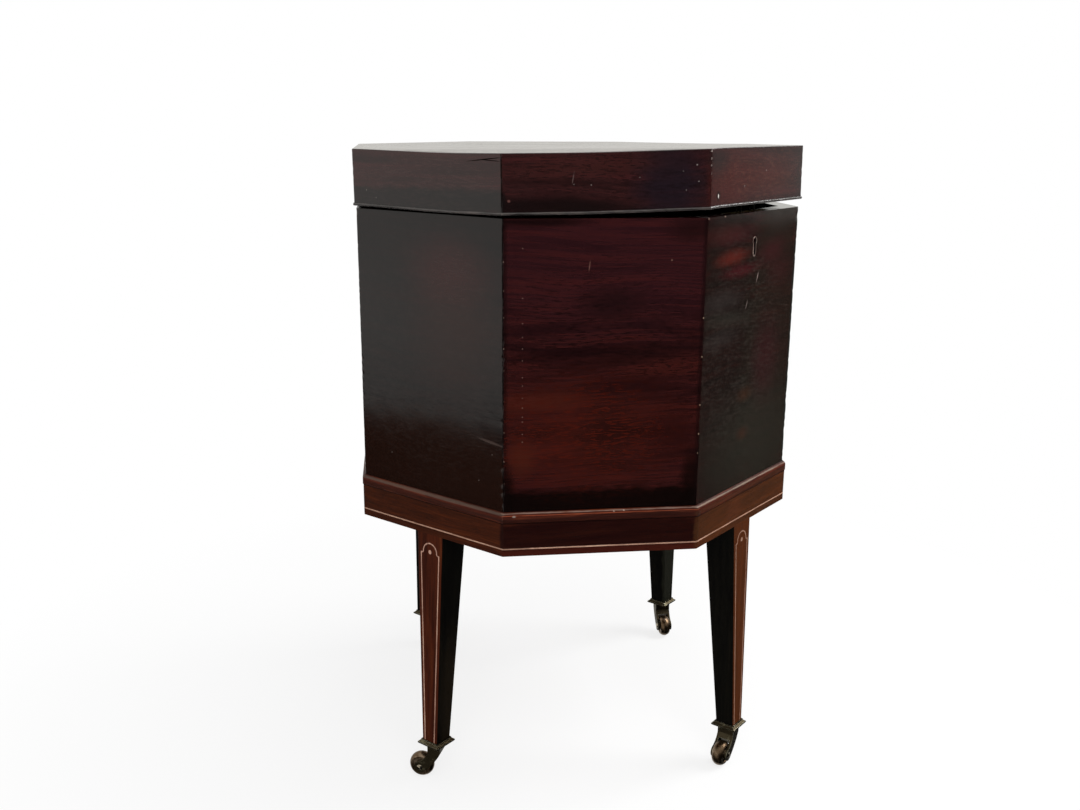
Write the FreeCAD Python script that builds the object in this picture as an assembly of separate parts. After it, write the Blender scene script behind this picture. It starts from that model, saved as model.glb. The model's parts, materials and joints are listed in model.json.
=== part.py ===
import FreeCAD, Part
import math
import os
from FreeCAD import Vector

# A late Georgian octagonal cellarette: a mitred mahogany case with a hinged lid,
# standing in a moulded and strung frame on four tapered legs with brass castors.
# Millimetres, +Z up, origin on the floor under the middle of the octagon.
# The lock side faces -Y and the hinges are at +Y.  The lid stands a little open.

# ---------------------------------------------------------------- driving sizes
# Case
BODY_ACROSS = 457.0        # across the flats of the case
CASE_SHOWS = 278.0         # height of the case above the stand moulding
CASE_WALL = 19.0
CASE_BOTTOM = 15.0         # thickness of the bottom board
CASE_LET_IN = 4.0          # the case sits this far down inside the moulding

# Lid
LID_HEIGHT = 54.4          # over the cock bead and the top
LID_OVERHANG = 1.7         # lid faces outside case faces, inside and out
LID_TOP = 12.0             # thickness of the top board
LID_BORDER = 9.0           # width of the wood that shows round the top board
LID_ARRIS = 0.8            # rounding of the top edge
LID_AJAR = 0.95            # degrees the lid stands open at rest
LID_REST_GAP = 0.3         # between lid and rim when the lid is down
BEAD_HEIGHT = 2.8          # cock bead round the bottom of the lid
BEAD_DEPTH = 5.5
BEAD_PROUD = 1.3
LID_BLOCK = 14.0           # legs of the triangular glue blocks in the lid
LID_BLOCK_LENGTH = 110.0

# Stand
MOULD_HEIGHT = 10.6        # top moulding, from its quirk to its top
MOULD_SHOULDER = 4.5       # height of the rounded part of it
MOULD_PROUD = 3.3          # nose outside the case face
MOULD_DEPTH = 9.5
MOULD_QUIRK = 0.7          # chamfer that throws the dark line under it
MOULD_LIP = 0.35           # narrow flat round the case
MOULD_SWELL_OUT = 0.72     # middle of the round, as shares of its width and height
MOULD_SWELL_DOWN = 0.32
FRIEZE_HEIGHT = 33.7       # plain rail under the moulding
FRIEZE_SET_BACK = 0.6      # frieze face inside the moulding nose
RAIL_THICK = 36.0
LINE_WIDTH = 1.3           # boxwood stringing
LINE_DEPTH = 0.9
FRIEZE_LINE_UP = 6.85      # lower edge of the line above the bottom of the frieze
BLOCK_LEG = 24.0           # corner blocks in the stand
BLOCK_SHORT = 5.0          # they stop this far from the top and bottom of the rails

# Legs
LEG_LENGTH = 232.1
LEG_TOP = 34.9             # square under the frieze
LEG_FOOT = 20.5            # square on the castor
LEG_SPLAY = 6.9            # the foot stands this far outside the frieze face
TENON_THICK = 14.0
TENON_WIDE = 22.0
TENON_HIGH = 30.0
TENON_ROOM = 1.0           # over the end of the tenon
ARCH_DOWN = 9.9            # top of the inlaid arch below the frieze
ARCH_RADIUS = 9.2
ARCH_FLARE = 2.2           # radius of the hollow feet of the arch, down to the shoulders
PANEL_HALF = 12.25         # half width of the inlaid panel at its shoulders
PANEL_INSET_FOOT = 3.8     # line to leg edge at the foot
DOT_RADIUS = 2.2

# Castors
PLATE_SIDE = 28.1
PLATE_THICK = 5.0
PLATE_EDGE = 1.9           # square edge of the plate
PLATE_LIP = 1.1            # raised lip round the leg
PLATE_LIP_WIDE = 1.1
PLATE_LEDGE = 0.5          # between the square edge and the slope
PLATE_CHAMFER = 0.4
WHEEL_RADIUS = 13.5
WHEEL_WIDTH = 12.0
WHEEL_SHOULDER = 10.6      # radius at which the tread starts to round over
WHEEL_DISH = 0.8           # depth of the turned recess in the wheel face
WHEEL_DISH_SLOPE = 0.5
WHEEL_HUB = 4.4            # radius of the flat round the bore
WHEEL_RIM = 1.6            # width of the flat inside the tread
CASTOR_TRAIL = 16.4        # axle behind the swivel pin
CASTOR_HEIGHT = 46.6       # floor to leg foot
AXLE_RADIUS = 2.0
RIVET_RADIUS = 3.1
RIVET_HIGH = 1.2
CHEEK_THICK = 2.9
CHEEK_END = 6.4            # radius of the cheek round the axle
HORN_HALF = 7.0            # half width of the horn under the plate, seen from the side
HORN_ROUND = 1.8           # rounding of the horn shoulders
HORN_NECK = 0.68           # foot of the shoulders, as a share of the height over the axle
HORN_BACK = (0.06, 0.24)   # a point of the swelling back: shares of trail and height
HORN_HOLLOW = (0.66, 0.42) # a point of the hollow front
CHEEK_FRONT = 82.0         # degrees round the axle where the cheek's round end starts,
CHEEK_LOW = -30.0          # passes
CHEEK_BACK = 218.0         # and stops
THROAT_GAP = 1.6           # horn web to tread
STEM_RADIUS = 3.0          # swivel stem, riveted over above the plate
STEM_HEAD_RADIUS = 4.8
STEM_HEAD_HIGH = 1.6
STEM_PLAY = 0.4            # under the riveted head
CASTOR_SCREW_OUT = 7.2     # screws from the plate middle, both ways

# Directions in which the castor wheels trail, degrees from +X
TRAIL_LEFT = 114.0
TRAIL_FRONT = 183.0
TRAIL_RIGHT = 226.0
TRAIL_BACK = 290.0

# Hinges
HINGE_LENGTH = 50.0
HINGE_OUT = 56.0           # hinge middle from the middle of the back
HINGE_LEAF = 1.5
HINGE_LEAF_WIDE = 21.0     # pin centre to the inner edge of the leaf
KNUCKLE_RADIUS = 3.2
KNUCKLE_SUNK = 1.4         # knuckles behind the nose of the cock bead
KNUCKLE_ROOM = 0.4         # leaf to the other leaf's knuckles
KNUCKLES = 5
KNUCKLE_GAP = 0.2
HINGE_PIN_RADIUS = 1.5
HINGE_SCREW_PITCH = 16.0
HINGE_SCREW_IN = 12.5      # screw line from the pin centre

# Lock
LOCK_WIDE = 63.0
LOCK_HIGH = 48.0
LOCK_DEEP = 12.7           # let in from the inner face of the front
LOCK_PLATE = 1.5
SELVEDGE_THICK = 2.2
SELVEDGE_LONG = 78.0
CAP_LONG = 76.0
CAP_SCREW_DOWN = 29.8      # cap screws below the rim
KEY_DOWN = 28.2            # key pin below the rim
KEY_PIN_RADIUS = 1.3
BOLT_BAR_DOWN = 13.5       # top of the bolt bar below the rim
BOLT_BAR_HIGH = 5.0
BOLT_THROW = 6.0
NOSE_HIGH = 3.2
NOSE_DOWN = 4.8            # top of the noses below the rim
NOSE_DEEP = 3.2            # across the wall
PRONG_WIDE = 3.5
PRONG_PLAY = 0.7           # prong to link, at both ends of the throw
BOLT_TAIL = 8.0            # bar past the right-hand link
TALON_HALF = 4.0           # notch in the bar that the key pushes
TALON_HIGH = 2.75
LINK_OUT = 13.5            # links each side of the middle
LINK_THICK = 2.0
LINK_DEEP = 6.0            # across the wall
LINK_LONG = 10.5
LINK_EYE_DOWN = 4.7        # top of the eye below the link plate
LINK_EYE_HIGH = 4.0
LINK_EYE_DEEP = 4.0
LINK_PLATE_LONG = 58.0
LINK_PLATE_THICK = 2.0
LINK_SCREW_IN = 5.0        # screws from the ends of the link plate
LINK_SLOT_PLAY = 0.8       # link in its slot in the selvedge, each side
PEG_RADIUS = 1.6           # pegs that carry the bolt bar
PEG_LEFT = -23.5
PEG_RIGHT = 24.0
SPRING_THICK = 0.8
SPRING_DROP = 18.0         # foot of the spring below the bolt bar
SPRING_REACH = 22.0
SPRING_FOOT = 3.0          # flat of the spring on the lock wall
SPRING_TURN = 4.0          # turned-down end under the bar
SPRING_EASE = 1.0          # offset of the bend on its under side

# Keyhole escutcheon, a thin brass outline let in flush
KEYHOLE_HEAD = 4.25        # outer radius of the head
KEYHOLE_TAIL = 3.1         # outer half width of the tail
KEYHOLE_HIGH = 19.5
KEYHOLE_RIM = 0.85
KEYHOLE_DEEP = 1.5

# Liner and bottle divisions
LINER_THICK = 1.2
LINER_BELOW_RIM = 54.0
LINER_LIP = 4.0            # folded lip at its top edge
DIVIDER_THICK = 8.0
DIVIDER_HIGH = 190.0
DIVIDER_OUT = 69.0         # divider middle from the middle of the case
HALVING_PLAY = 0.1         # in the slots where the boards cross, each side

# Screws: head radius, head depth, shank radius, length
HINGE_SCREW = (2.9, 1.5, 1.4, 15.0)
LOCK_SCREW = (2.6, 1.5, 1.2, 12.0)
LINK_SCREW = (2.6, 1.5, 1.2, 14.0)
CASTOR_SCREW = (2.7, 1.6, 1.4, 16.0)
CASE_SCREW = (5.0, 3.0, 2.4, 48.0)
CASE_SCREW_BORE = 5.6      # counterbore in the stand rails
CASE_SCREW_SUNK = 14.0
SLOT_SHARE = 0.5           # depth of a screw slot, as a share of its head
SLOT_HALF = 0.14           # half its width, as a share of the head radius
POINT_LONG = 2.0           # length of the point, in shank radii
POINT_BLUNT = 0.4          # radius of its end, in shank radii

# Clearances
FIT = 0.05                 # radial running clearance of pins and axles
CLEAR = 0.3                # between parts that move past each other
SLIP = 0.25                # loose inner fittings
WHEEL_PLAY = 0.5           # wheel to cheek
PAST = 1.0                 # how far a cutting tool runs past what it cuts

# ---------------------------------------------------------------- worked-out places
EIGHTH = 45.0
HALF_TAN = math.tan(math.radians(EIGHTH / 2))

BODY_R = BODY_ACROSS / 2                       # inradius of the case
CASE_IN_R = BODY_R - CASE_WALL
LEG_TOP_Z = CASTOR_HEIGHT + LEG_LENGTH
MOULD_Z = LEG_TOP_Z + FRIEZE_HEIGHT
MOULD_TOP_Z = MOULD_Z + MOULD_HEIGHT
CASE_Z = MOULD_TOP_Z - CASE_LET_IN             # underside of the case, top of the rails
RIM_Z = MOULD_TOP_Z + CASE_SHOWS

MOULD_R = BODY_R + MOULD_PROUD
FRIEZE_R = MOULD_R - FRIEZE_SET_BACK
RAIL_IN_R = FRIEZE_R - RAIL_THICK

LID_Z = RIM_Z + LID_REST_GAP
LID_TOP_Z = LID_Z + LID_HEIGHT
LID_R = BODY_R + LID_OVERHANG
LID_IN_R = CASE_IN_R + LID_OVERHANG
BEAD_R = LID_R + BEAD_PROUD
BEAD_IN_R = LID_R - BEAD_DEPTH
LID_BOARD_R = LID_R - LID_BORDER
LID_BOARD_Z = LID_TOP_Z - LID_TOP

HINGE_Z = RIM_Z + LID_REST_GAP / 2
HINGE_Y = BEAD_R + KNUCKLE_RADIUS - KNUCKLE_SUNK
HINGE_PLATE_Y = HINGE_Y - KNUCKLE_RADIUS - KNUCKLE_ROOM

FOOT_R = FRIEZE_R + LEG_SPLAY                  # outer face of the leg at the foot
CASTOR_R = FOOT_R - LEG_FOOT / 2               # swivel axis from the middle
PLATE_Z = CASTOR_HEIGHT - PLATE_THICK
SPLAY_ANGLE = math.degrees(math.atan2(LEG_SPLAY, LEG_LENGTH))

LOCK_Y = -(CASE_IN_R + LOCK_DEEP)              # outer face of the lock in the front
CAP_Y = -(CASE_IN_R + LOCK_PLATE)
LINK_Y = -(CASE_IN_R + LOCK_DEEP / 2)
KEY_Z = RIM_Z - KEY_DOWN
BOLT_Z = RIM_Z - BOLT_BAR_DOWN - BOLT_BAR_HIGH  # underside of the bolt bar
LINER_Z = CASE_Z + CASE_BOTTOM

# Outward directions of the eight faces, degrees from +X
FACES = {
    "right": 0, "back_right": 45, "back": 90, "back_left": 135,
    "left": 180, "front_left": 225, "front": 270, "front_right": 315,
}
DIAGONALS = ("front_left", "front_right", "back_left", "back_right")

os.makedirs("parts", exist_ok=True)


# ---------------------------------------------------------------- shared shapes
def save(name, *solids):
    """Write one node; several solids stay separate solids of it."""
    shape = solids[0] if len(solids) == 1 else Part.makeCompound(list(solids))
    shape.exportStep(os.path.join("parts", name + ".step"))


def block(x0, y0, z0, x1, y1, z1):
    return Part.makeBox(x1 - x0, y1 - y0, z1 - z0, Vector(x0, y0, z0))


def rod(radius, start, end):
    """A round bar from one point to another."""
    along = end - start
    return Part.makeCylinder(radius, along.Length, start, along)


def outline(start, *moves):
    """A face in the XZ plane.  A move is an end point, or an arc as (through, end)."""
    edges = []
    here = Vector(start[0], 0, start[1])
    for move in moves + (start,):
        if isinstance(move[0], tuple):
            through, end = (Vector(p[0], 0, p[1]) for p in move)
            edges.append(Part.Arc(here, through, end).toShape())
        else:
            end = Vector(move[0], 0, move[1])
            edges.append(Part.LineSegment(here, end).toShape())
        here = end
    return Part.Face(Part.Wire(edges))


def turned(shape, angle, centre=Vector(0, 0, 0), axis=Vector(0, 0, 1)):
    copy = shape.copy()
    copy.rotate(centre, axis, angle)
    return copy


def moved(shape, x=0.0, y=0.0, z=0.0):
    copy = shape.copy()
    copy.translate(Vector(x, y, z))
    return copy


def octagon(inradius, z0, z1):
    """An octagonal prism with its flats facing +-X and +-Y."""
    corner = inradius / math.cos(math.radians(EIGHTH / 2))
    angles = [math.radians(EIGHTH * (k + 0.5)) for k in range(9)]
    ring = [Vector(corner * math.cos(a), corner * math.sin(a), z0) for a in angles]
    return Part.Face(Part.makePolygon(ring)).extrude(Vector(0, 0, z1 - z0))


def mitred(section, face):
    """One side of an octagonal frame: its (radius, z) section run along the face, mitred."""
    box = section.BoundBox
    far = box.XMax + PAST
    reach = far * HALF_TAN
    length = moved(section, y=-reach).extrude(Vector(0, 2 * reach, 0))
    low = box.ZMin - PAST
    corners = [Vector(0, 0, low), Vector(far, -reach, low), Vector(far, reach, low),
               Vector(0, 0, low)]
    wedge = Part.Face(Part.makePolygon(corners)).extrude(Vector(0, 0, box.ZLength + 2 * PAST))
    return turned(length.common(wedge), FACES[face])


def board(r0, r1, z0, z1):
    """Section of a plain board that stands in an octagonal frame."""
    return outline((r0, z0), (r1, z0), (r1, z1), (r0, z1))


def screw_blank(size):
    """A countersunk screw without its slot: head flush at z = 0, point down."""
    head, deep, shank, length = size
    half = outline((0, 0), (head, 0), (shank, -deep), (shank, POINT_LONG * shank - length),
                   (POINT_BLUNT * shank, -length), (0, -length))
    return half.revolve(Vector(0, 0, 0), Vector(0, 0, 1), 360)


def screw(size):
    head, deep = size[:2]
    side = SLOT_HALF * head
    slot = block(-head, -side, -SLOT_SHARE * deep, head, side, PAST)
    return screw_blank(size).cut(slot)


def placed(shape, x, y, z, way="up"):
    """Set a screw with its head at the point, facing up, down, or a face direction."""
    if way == "down":
        shape = turned(shape, 180, axis=Vector(1, 0, 0))
    elif way == "inside":
        shape = turned(shape, -90, axis=Vector(1, 0, 0))
    return moved(shape, x, y, z)


def keyhole(grow, y0, y1):
    """The keyhole outline, head up, its head on the key pin; grow widens it all round."""
    head = KEYHOLE_HEAD + grow
    tail = KEYHOLE_TAIL + grow
    join = math.sqrt(head ** 2 - tail ** 2)
    foot = KEYHOLE_HEAD - KEYHOLE_HIGH + KEYHOLE_TAIL
    face = outline((tail, -join), ((0, head), (-tail, -join)), (-tail, foot),
                   ((0, foot - tail), (tail, foot)))
    return moved(face, y=y0, z=KEY_Z).extrude(Vector(0, y1 - y0, 0))


# ---------------------------------------------------------------- stand
def moulding_section():
    """Ovolo moulding with a thin lip that holds the case, and a quirk underneath."""
    shoulder = MOULD_TOP_Z - MOULD_SHOULDER
    inner = MOULD_R - MOULD_DEPTH
    bulge = (BODY_R + MOULD_SWELL_OUT * MOULD_PROUD,
             MOULD_TOP_Z - MOULD_SWELL_DOWN * MOULD_SHOULDER)
    return outline((inner, MOULD_Z), (MOULD_R - MOULD_QUIRK, MOULD_Z),
                   (MOULD_R, MOULD_Z + MOULD_QUIRK), (MOULD_R, shoulder),
                   (bulge, (BODY_R + MOULD_LIP, MOULD_TOP_Z)),
                   (BODY_R, MOULD_TOP_Z), (BODY_R, CASE_Z), (inner, CASE_Z))


def rail_section():
    """Stand rail: rebated for the moulding and grooved for the stringing."""
    inner = MOULD_R - MOULD_DEPTH
    low = LEG_TOP_Z + FRIEZE_LINE_UP
    groove = FRIEZE_R - LINE_DEPTH
    return outline((RAIL_IN_R, LEG_TOP_Z), (FRIEZE_R, LEG_TOP_Z), (FRIEZE_R, low),
                   (groove, low), (groove, low + LINE_WIDTH), (FRIEZE_R, low + LINE_WIDTH),
                   (FRIEZE_R, MOULD_Z), (inner, MOULD_Z), (inner, CASE_Z),
                   (RAIL_IN_R, CASE_Z))


def tenon(grow=0.0):
    """The stub tenon of a leg, in the place of the right-hand leg."""
    middle = FRIEZE_R - LEG_TOP / 2
    return block(middle - TENON_THICK / 2, -TENON_WIDE / 2, LEG_TOP_Z - PAST,
                 middle + TENON_THICK / 2, TENON_WIDE / 2, LEG_TOP_Z + TENON_HIGH + grow)


def case_screw_places():
    """The case is held down by one long screw through each diagonal rail."""
    radius = (CASE_IN_R + BODY_R) / 2
    return [turned(Part.Vertex(radius, 0, LEG_TOP_Z + CASE_SCREW_SUNK), FACES[f]).Point
            for f in DIAGONALS]


def stand():
    rails = {face: mitred(rail_section(), face) for face in FACES}
    for face in ("right", "back", "left", "front"):
        rails[face] = rails[face].cut(turned(tenon(TENON_ROOM), FACES[face]))
    for face, place in zip(DIAGONALS, case_screw_places()):
        bore = rod(CASE_SCREW_BORE, Vector(place.x, place.y, LEG_TOP_Z), place)
        hole = placed(screw_blank(CASE_SCREW), place.x, place.y, place.z, "down")
        rails[face] = rails[face].cut(bore).cut(hole)
    save("stand_rail_front", rails["front"])
    save("stand_rail_back", rails["back"])
    save("stand_rails_left_right", rails["left"], rails["right"])
    save("stand_rails_diagonal", *[rails[f] for f in DIAGONALS])
    save("stand_top_moulding", *[mitred(moulding_section(), f) for f in FACES])

    low = LEG_TOP_Z + FRIEZE_LINE_UP
    line = board(FRIEZE_R - LINE_DEPTH, FRIEZE_R, low, low + LINE_WIDTH)
    save("stand_stringing", *[mitred(line, f) for f in FACES])

    corner = RAIL_IN_R / math.cos(math.radians(EIGHTH / 2))
    lean = math.radians(EIGHTH / 2)
    step = Vector(BLOCK_LEG * math.sin(lean), BLOCK_LEG * math.cos(lean), 0)
    apex = Vector(corner, 0, LEG_TOP_Z + BLOCK_SHORT)
    plan = [apex, apex + Vector(-step.x, step.y, 0), apex - step, apex]
    prism = Part.Face(Part.makePolygon(plan)).extrude(
        Vector(0, 0, CASE_Z - LEG_TOP_Z - 2 * BLOCK_SHORT))
    save("stand_corner_blocks", *[turned(prism, EIGHTH * (k + 0.5)) for k in range(8)])
    save("case_fixing_screws",
         *[placed(screw(CASE_SCREW), p.x, p.y, p.z, "down") for p in case_screw_places()])


# ---------------------------------------------------------------- legs
def leg_panel(grow):
    """The inlaid panel on a leg: an arch with hollow feet on square shoulders, open below."""
    arch = ARCH_RADIUS + grow
    side = PANEL_HALF + grow
    centre = -ARCH_DOWN - ARCH_RADIUS
    flare = ARCH_FLARE - grow
    flare_end = ARCH_RADIUS + ARCH_FLARE
    shoulder = centre - flare
    middle = flare * math.sqrt(0.5)
    foot = LEG_FOOT / 2 - PANEL_INSET_FOOT + grow
    bottom = -LEG_LENGTH
    return outline((foot, bottom), (side, shoulder), (flare_end, shoulder),
                   ((flare_end - middle, centre - middle), (arch, centre)),
                   ((0, centre + arch), (-arch, centre)),
                   ((middle - flare_end, centre - middle), (-flare_end, shoulder)),
                   (-side, shoulder), (-foot, bottom))


def on_leg_face(flat):
    """Sink a face drawn in the XZ plane into the sloping outer face of the right-hand leg."""
    solid = flat.extrude(Vector(0, LINE_DEPTH, 0))
    solid = turned(solid, 90)
    solid = turned(solid, -SPLAY_ANGLE, axis=Vector(0, 1, 0))
    return moved(solid, FRIEZE_R, 0, LEG_TOP_Z)


def leg_inlay():
    band = leg_panel(LINE_WIDTH / 2).cut(leg_panel(-LINE_WIDTH / 2))
    dot_centre = Vector(0, 0, -ARCH_DOWN - ARCH_RADIUS)
    dot = Part.Face(Part.Wire(Part.makeCircle(DOT_RADIUS, dot_centre, Vector(0, 1, 0))))
    return on_leg_face(band), on_leg_face(dot)


def leg_square(outer, side, z):
    inner = outer - side
    half = side / 2
    corners = [(inner, -half), (outer, -half), (outer, half), (inner, half), (inner, -half)]
    return Part.makePolygon([Vector(x, y, z) for x, y in corners])


def castor_screw_places():
    out = CASTOR_SCREW_OUT
    return [(CASTOR_R + i * out, j * out) for i in (-1, 1) for j in (-1, 1)]


def legs():
    """The right-hand leg is made once and turned to the other three."""
    taper = Part.makeLoft([leg_square(FOOT_R, LEG_FOOT, CASTOR_HEIGHT),
                           leg_square(FRIEZE_R, LEG_TOP, LEG_TOP_Z)], True, True)
    leg = taper.fuse(tenon()).removeSplitter()
    band, dot = leg_inlay()
    leg = leg.cut(band).cut(dot)
    head_room = STEM_PLAY + STEM_HEAD_HIGH + 2 * CLEAR
    leg = leg.cut(rod(STEM_HEAD_RADIUS + 2 * CLEAR, Vector(CASTOR_R, 0, CASTOR_HEIGHT - PAST),
                      Vector(CASTOR_R, 0, CASTOR_HEIGHT + head_room)))
    for x, y in castor_screw_places():
        leg = leg.cut(placed(screw_blank(CASTOR_SCREW), x, y, PLATE_Z, "down"))
    corners = ("front", "back", "left", "right")
    for face in corners:
        save("leg_" + face, turned(leg, FACES[face]))
    save("leg_inlay", *[turned(line, FACES[f]) for f in corners for line in (band, dot)])


# ---------------------------------------------------------------- castors
def castor_plate():
    """Moulded square plate: square edge, sloping top, and a lip round the leg."""
    lip = LEG_FOOT + 2 * PLATE_LIP_WIDE
    half = PLATE_SIDE / 2
    base = block(-half, -half, PLATE_Z, half, half, PLATE_Z + PLATE_EDGE)
    slope_top = CASTOR_HEIGHT - PLATE_LIP
    ledge = half - PLATE_LEDGE
    slope = Part.makeLoft([leg_square(ledge, 2 * ledge, PLATE_Z + PLATE_EDGE),
                           leg_square(lip / 2, lip, slope_top)], True, True)
    top = block(-lip / 2, -lip / 2, slope_top, lip / 2, lip / 2, CASTOR_HEIGHT)
    plate = base.fuse([slope, top]).removeSplitter()
    bottom_edges = [e for e in plate.Edges if e.BoundBox.ZMax < PLATE_Z + PLATE_CHAMFER]
    plate = plate.makeChamfer(PLATE_CHAMFER, bottom_edges)
    hole_end = Vector(0, 0, CASTOR_HEIGHT + PAST)
    plate = plate.cut(rod(STEM_RADIUS + FIT, Vector(0, 0, 0), hole_end))
    for x, y in castor_screw_places():
        plate = plate.cut(placed(screw_blank(CASTOR_SCREW), x - CASTOR_R, y, PLATE_Z, "down"))
    return plate


def castor_horn():
    """Cast horn with two cheeks, the wheel trailing along +X, the swivel stem on top."""
    top = PLATE_Z - CLEAR
    slot_half = WHEEL_WIDTH / 2 + WHEEL_PLAY
    half = slot_half + CHEEK_THICK
    axle = (CASTOR_TRAIL, WHEEL_RADIUS)

    def round_axle(angle):
        a = math.radians(angle)
        return (axle[0] + CHEEK_END * math.cos(a), axle[1] + CHEEK_END * math.sin(a))

    def part_way(shares):
        return (shares[0] * CASTOR_TRAIL, WHEEL_RADIUS + shares[1] * (top - WHEEL_RADIUS))

    neck = part_way((0, HORN_NECK))[1]
    side = outline((-HORN_HALF, top), (HORN_HALF, top), (HORN_HALF, neck),
                   (part_way(HORN_HOLLOW), round_axle(CHEEK_FRONT)),
                   (round_axle(CHEEK_LOW), round_axle(CHEEK_BACK)),
                   (part_way(HORN_BACK), (-HORN_HALF, neck)))
    horn = moved(side, y=-half).extrude(Vector(0, 2 * half, 0))
    shoulders = [e for e in horn.Edges
                 if e.BoundBox.ZMin > neck and e.BoundBox.XLength > HORN_HALF]
    horn = horn.makeFillet(HORN_ROUND, shoulders)
    throat = rod(WHEEL_RADIUS + THROAT_GAP, Vector(axle[0], -slot_half, axle[1]),
                 Vector(axle[0], slot_half, axle[1]))
    ahead = block(axle[0], -slot_half, 0, axle[0] + 2 * CHEEK_END, slot_half, top)
    horn = horn.cut(throat).cut(ahead)
    horn = horn.cut(rod(AXLE_RADIUS, Vector(axle[0], -2 * half, axle[1]),
                        Vector(axle[0], 2 * half, axle[1])))
    head_z = CASTOR_HEIGHT + STEM_PLAY
    stem = rod(STEM_RADIUS, Vector(0, 0, top - THROAT_GAP), Vector(0, 0, head_z + STEM_HEAD_HIGH))
    head = rod(STEM_HEAD_RADIUS, Vector(0, 0, head_z), Vector(0, 0, head_z + STEM_HEAD_HIGH))
    return horn.fuse([stem, head]).removeSplitter()


def castor_axle():
    """Axle pin, riveted over in a low dome outside both cheeks."""
    half = WHEEL_WIDTH / 2 + WHEEL_PLAY + CHEEK_THICK
    dome = (RIVET_RADIUS ** 2 + RIVET_HIGH ** 2) / (2 * RIVET_HIGH)
    turn = math.asin(RIVET_RADIUS / dome) / 2
    mid_r = dome * math.sin(turn)
    mid_z = half + RIVET_HIGH - dome * (1 - math.cos(turn))
    profile = outline((0, -half - RIVET_HIGH), ((mid_r, -mid_z), (RIVET_RADIUS, -half)),
                      (AXLE_RADIUS, -half), (AXLE_RADIUS, half), (RIVET_RADIUS, half),
                      ((mid_r, mid_z), (0, half + RIVET_HIGH)))
    pin = profile.revolve(Vector(0, 0, 0), Vector(0, 0, 1), 360)
    return moved(turned(pin, 90, axis=Vector(1, 0, 0)), CASTOR_TRAIL, 0, WHEEL_RADIUS)


def castor_wheel():
    """Turned wheel with a rounded tread and dished faces."""
    half = WHEEL_WIDTH / 2
    bore = AXLE_RADIUS + FIT
    hub_foot = WHEEL_HUB + WHEEL_DISH_SLOPE
    rim = WHEEL_SHOULDER - WHEEL_RIM
    rim_foot = rim - WHEEL_DISH_SLOPE
    dish = half - WHEEL_DISH
    profile = outline((bore, -half), (WHEEL_HUB, -half), (hub_foot, -dish), (rim_foot, -dish),
                      (rim, -half), (WHEEL_SHOULDER, -half),
                      ((WHEEL_RADIUS, 0), (WHEEL_SHOULDER, half)), (rim, half),
                      (rim_foot, dish), (hub_foot, dish), (WHEEL_HUB, half), (bore, half))
    wheel = profile.revolve(Vector(0, 0, 0), Vector(0, 0, 1), 360)
    return moved(turned(wheel, 90, axis=Vector(1, 0, 0)), CASTOR_TRAIL, 0, WHEEL_RADIUS)


def castors():
    trails = {"front": TRAIL_FRONT, "back": TRAIL_BACK, "left": TRAIL_LEFT,
              "right": TRAIL_RIGHT}
    plate = castor_plate()
    pieces = {"horn": castor_horn(), "axle": castor_axle(), "wheel": castor_wheel()}
    for face, trail in trails.items():
        seat = turned(Part.Vertex(CASTOR_R, 0, 0), FACES[face]).Point
        for name, piece in pieces.items():
            save("castor_%s_%s" % (face, name), moved(turned(piece, trail), seat.x, seat.y))
    save("castor_plates", *[turned(moved(plate, x=CASTOR_R), FACES[f]) for f in trails])
    fixings = [placed(screw(CASTOR_SCREW), x, y, PLATE_Z, "down")
               for x, y in castor_screw_places()]
    save("castor_screws", *[turned(s, FACES[f]) for f in trails for s in fixings])


# ---------------------------------------------------------------- hinges
def hinge_screw_places(middle):
    y = HINGE_Y - HINGE_SCREW_IN
    return [(middle + k * HINGE_SCREW_PITCH, y) for k in (-1, 0, 1)]


def hinge_leaf(middle, lid):
    """A butt hinge leaf with its knuckles; the case leaf has the odd ones."""
    z0 = LID_Z if lid else RIM_Z - HINGE_LEAF
    z1 = z0 + HINGE_LEAF
    left = middle - HINGE_LENGTH / 2
    leaf = block(left, HINGE_Y - HINGE_LEAF_WIDE, z0, left + HINGE_LENGTH, HINGE_PLATE_Y, z1)
    share = HINGE_LENGTH / KNUCKLES
    for k in range(1 if lid else 0, KNUCKLES, 2):
        x0 = left + k * share + (KNUCKLE_GAP / 2 if k else 0)
        x1 = left + (k + 1) * share - (KNUCKLE_GAP / 2 if k < KNUCKLES - 1 else 0)
        knuckle = rod(KNUCKLE_RADIUS, Vector(x0, HINGE_Y, HINGE_Z), Vector(x1, HINGE_Y, HINGE_Z))
        neck = block(x0, HINGE_PLATE_Y - PAST, z0, x1, HINGE_Y, z1)
        leaf = leaf.fuse([knuckle, neck])
    bore = HINGE_PIN_RADIUS + (FIT if lid else 0)
    leaf = leaf.cut(rod(bore, Vector(left - PAST, HINGE_Y, HINGE_Z),
                        Vector(left + HINGE_LENGTH + PAST, HINGE_Y, HINGE_Z)))
    way, flush = ("down", z0) if lid else ("up", z1)
    for x, y in hinge_screw_places(middle):
        leaf = leaf.cut(placed(screw_blank(HINGE_SCREW), x, y, flush, way))
    return leaf.removeSplitter()


def hinge_recess(middle, lid):
    """What is cut from the wood for one leaf, its knuckles and its screws."""
    z0 = LID_Z if lid else RIM_Z - HINGE_LEAF
    z1 = z0 + HINGE_LEAF
    left = middle - HINGE_LENGTH / 2
    right = left + HINGE_LENGTH
    recess = block(left, HINGE_Y - HINGE_LEAF_WIDE, z0, right, HINGE_Y, z1)
    room = rod(KNUCKLE_RADIUS + CLEAR, Vector(left - CLEAR, HINGE_Y, HINGE_Z),
               Vector(right + CLEAR, HINGE_Y, HINGE_Z))
    way, flush = ("down", z0) if lid else ("up", z1)
    holes = [placed(screw_blank(HINGE_SCREW), x, y, flush, way)
             for x, y in hinge_screw_places(middle)]
    return [recess, room] + holes


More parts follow.
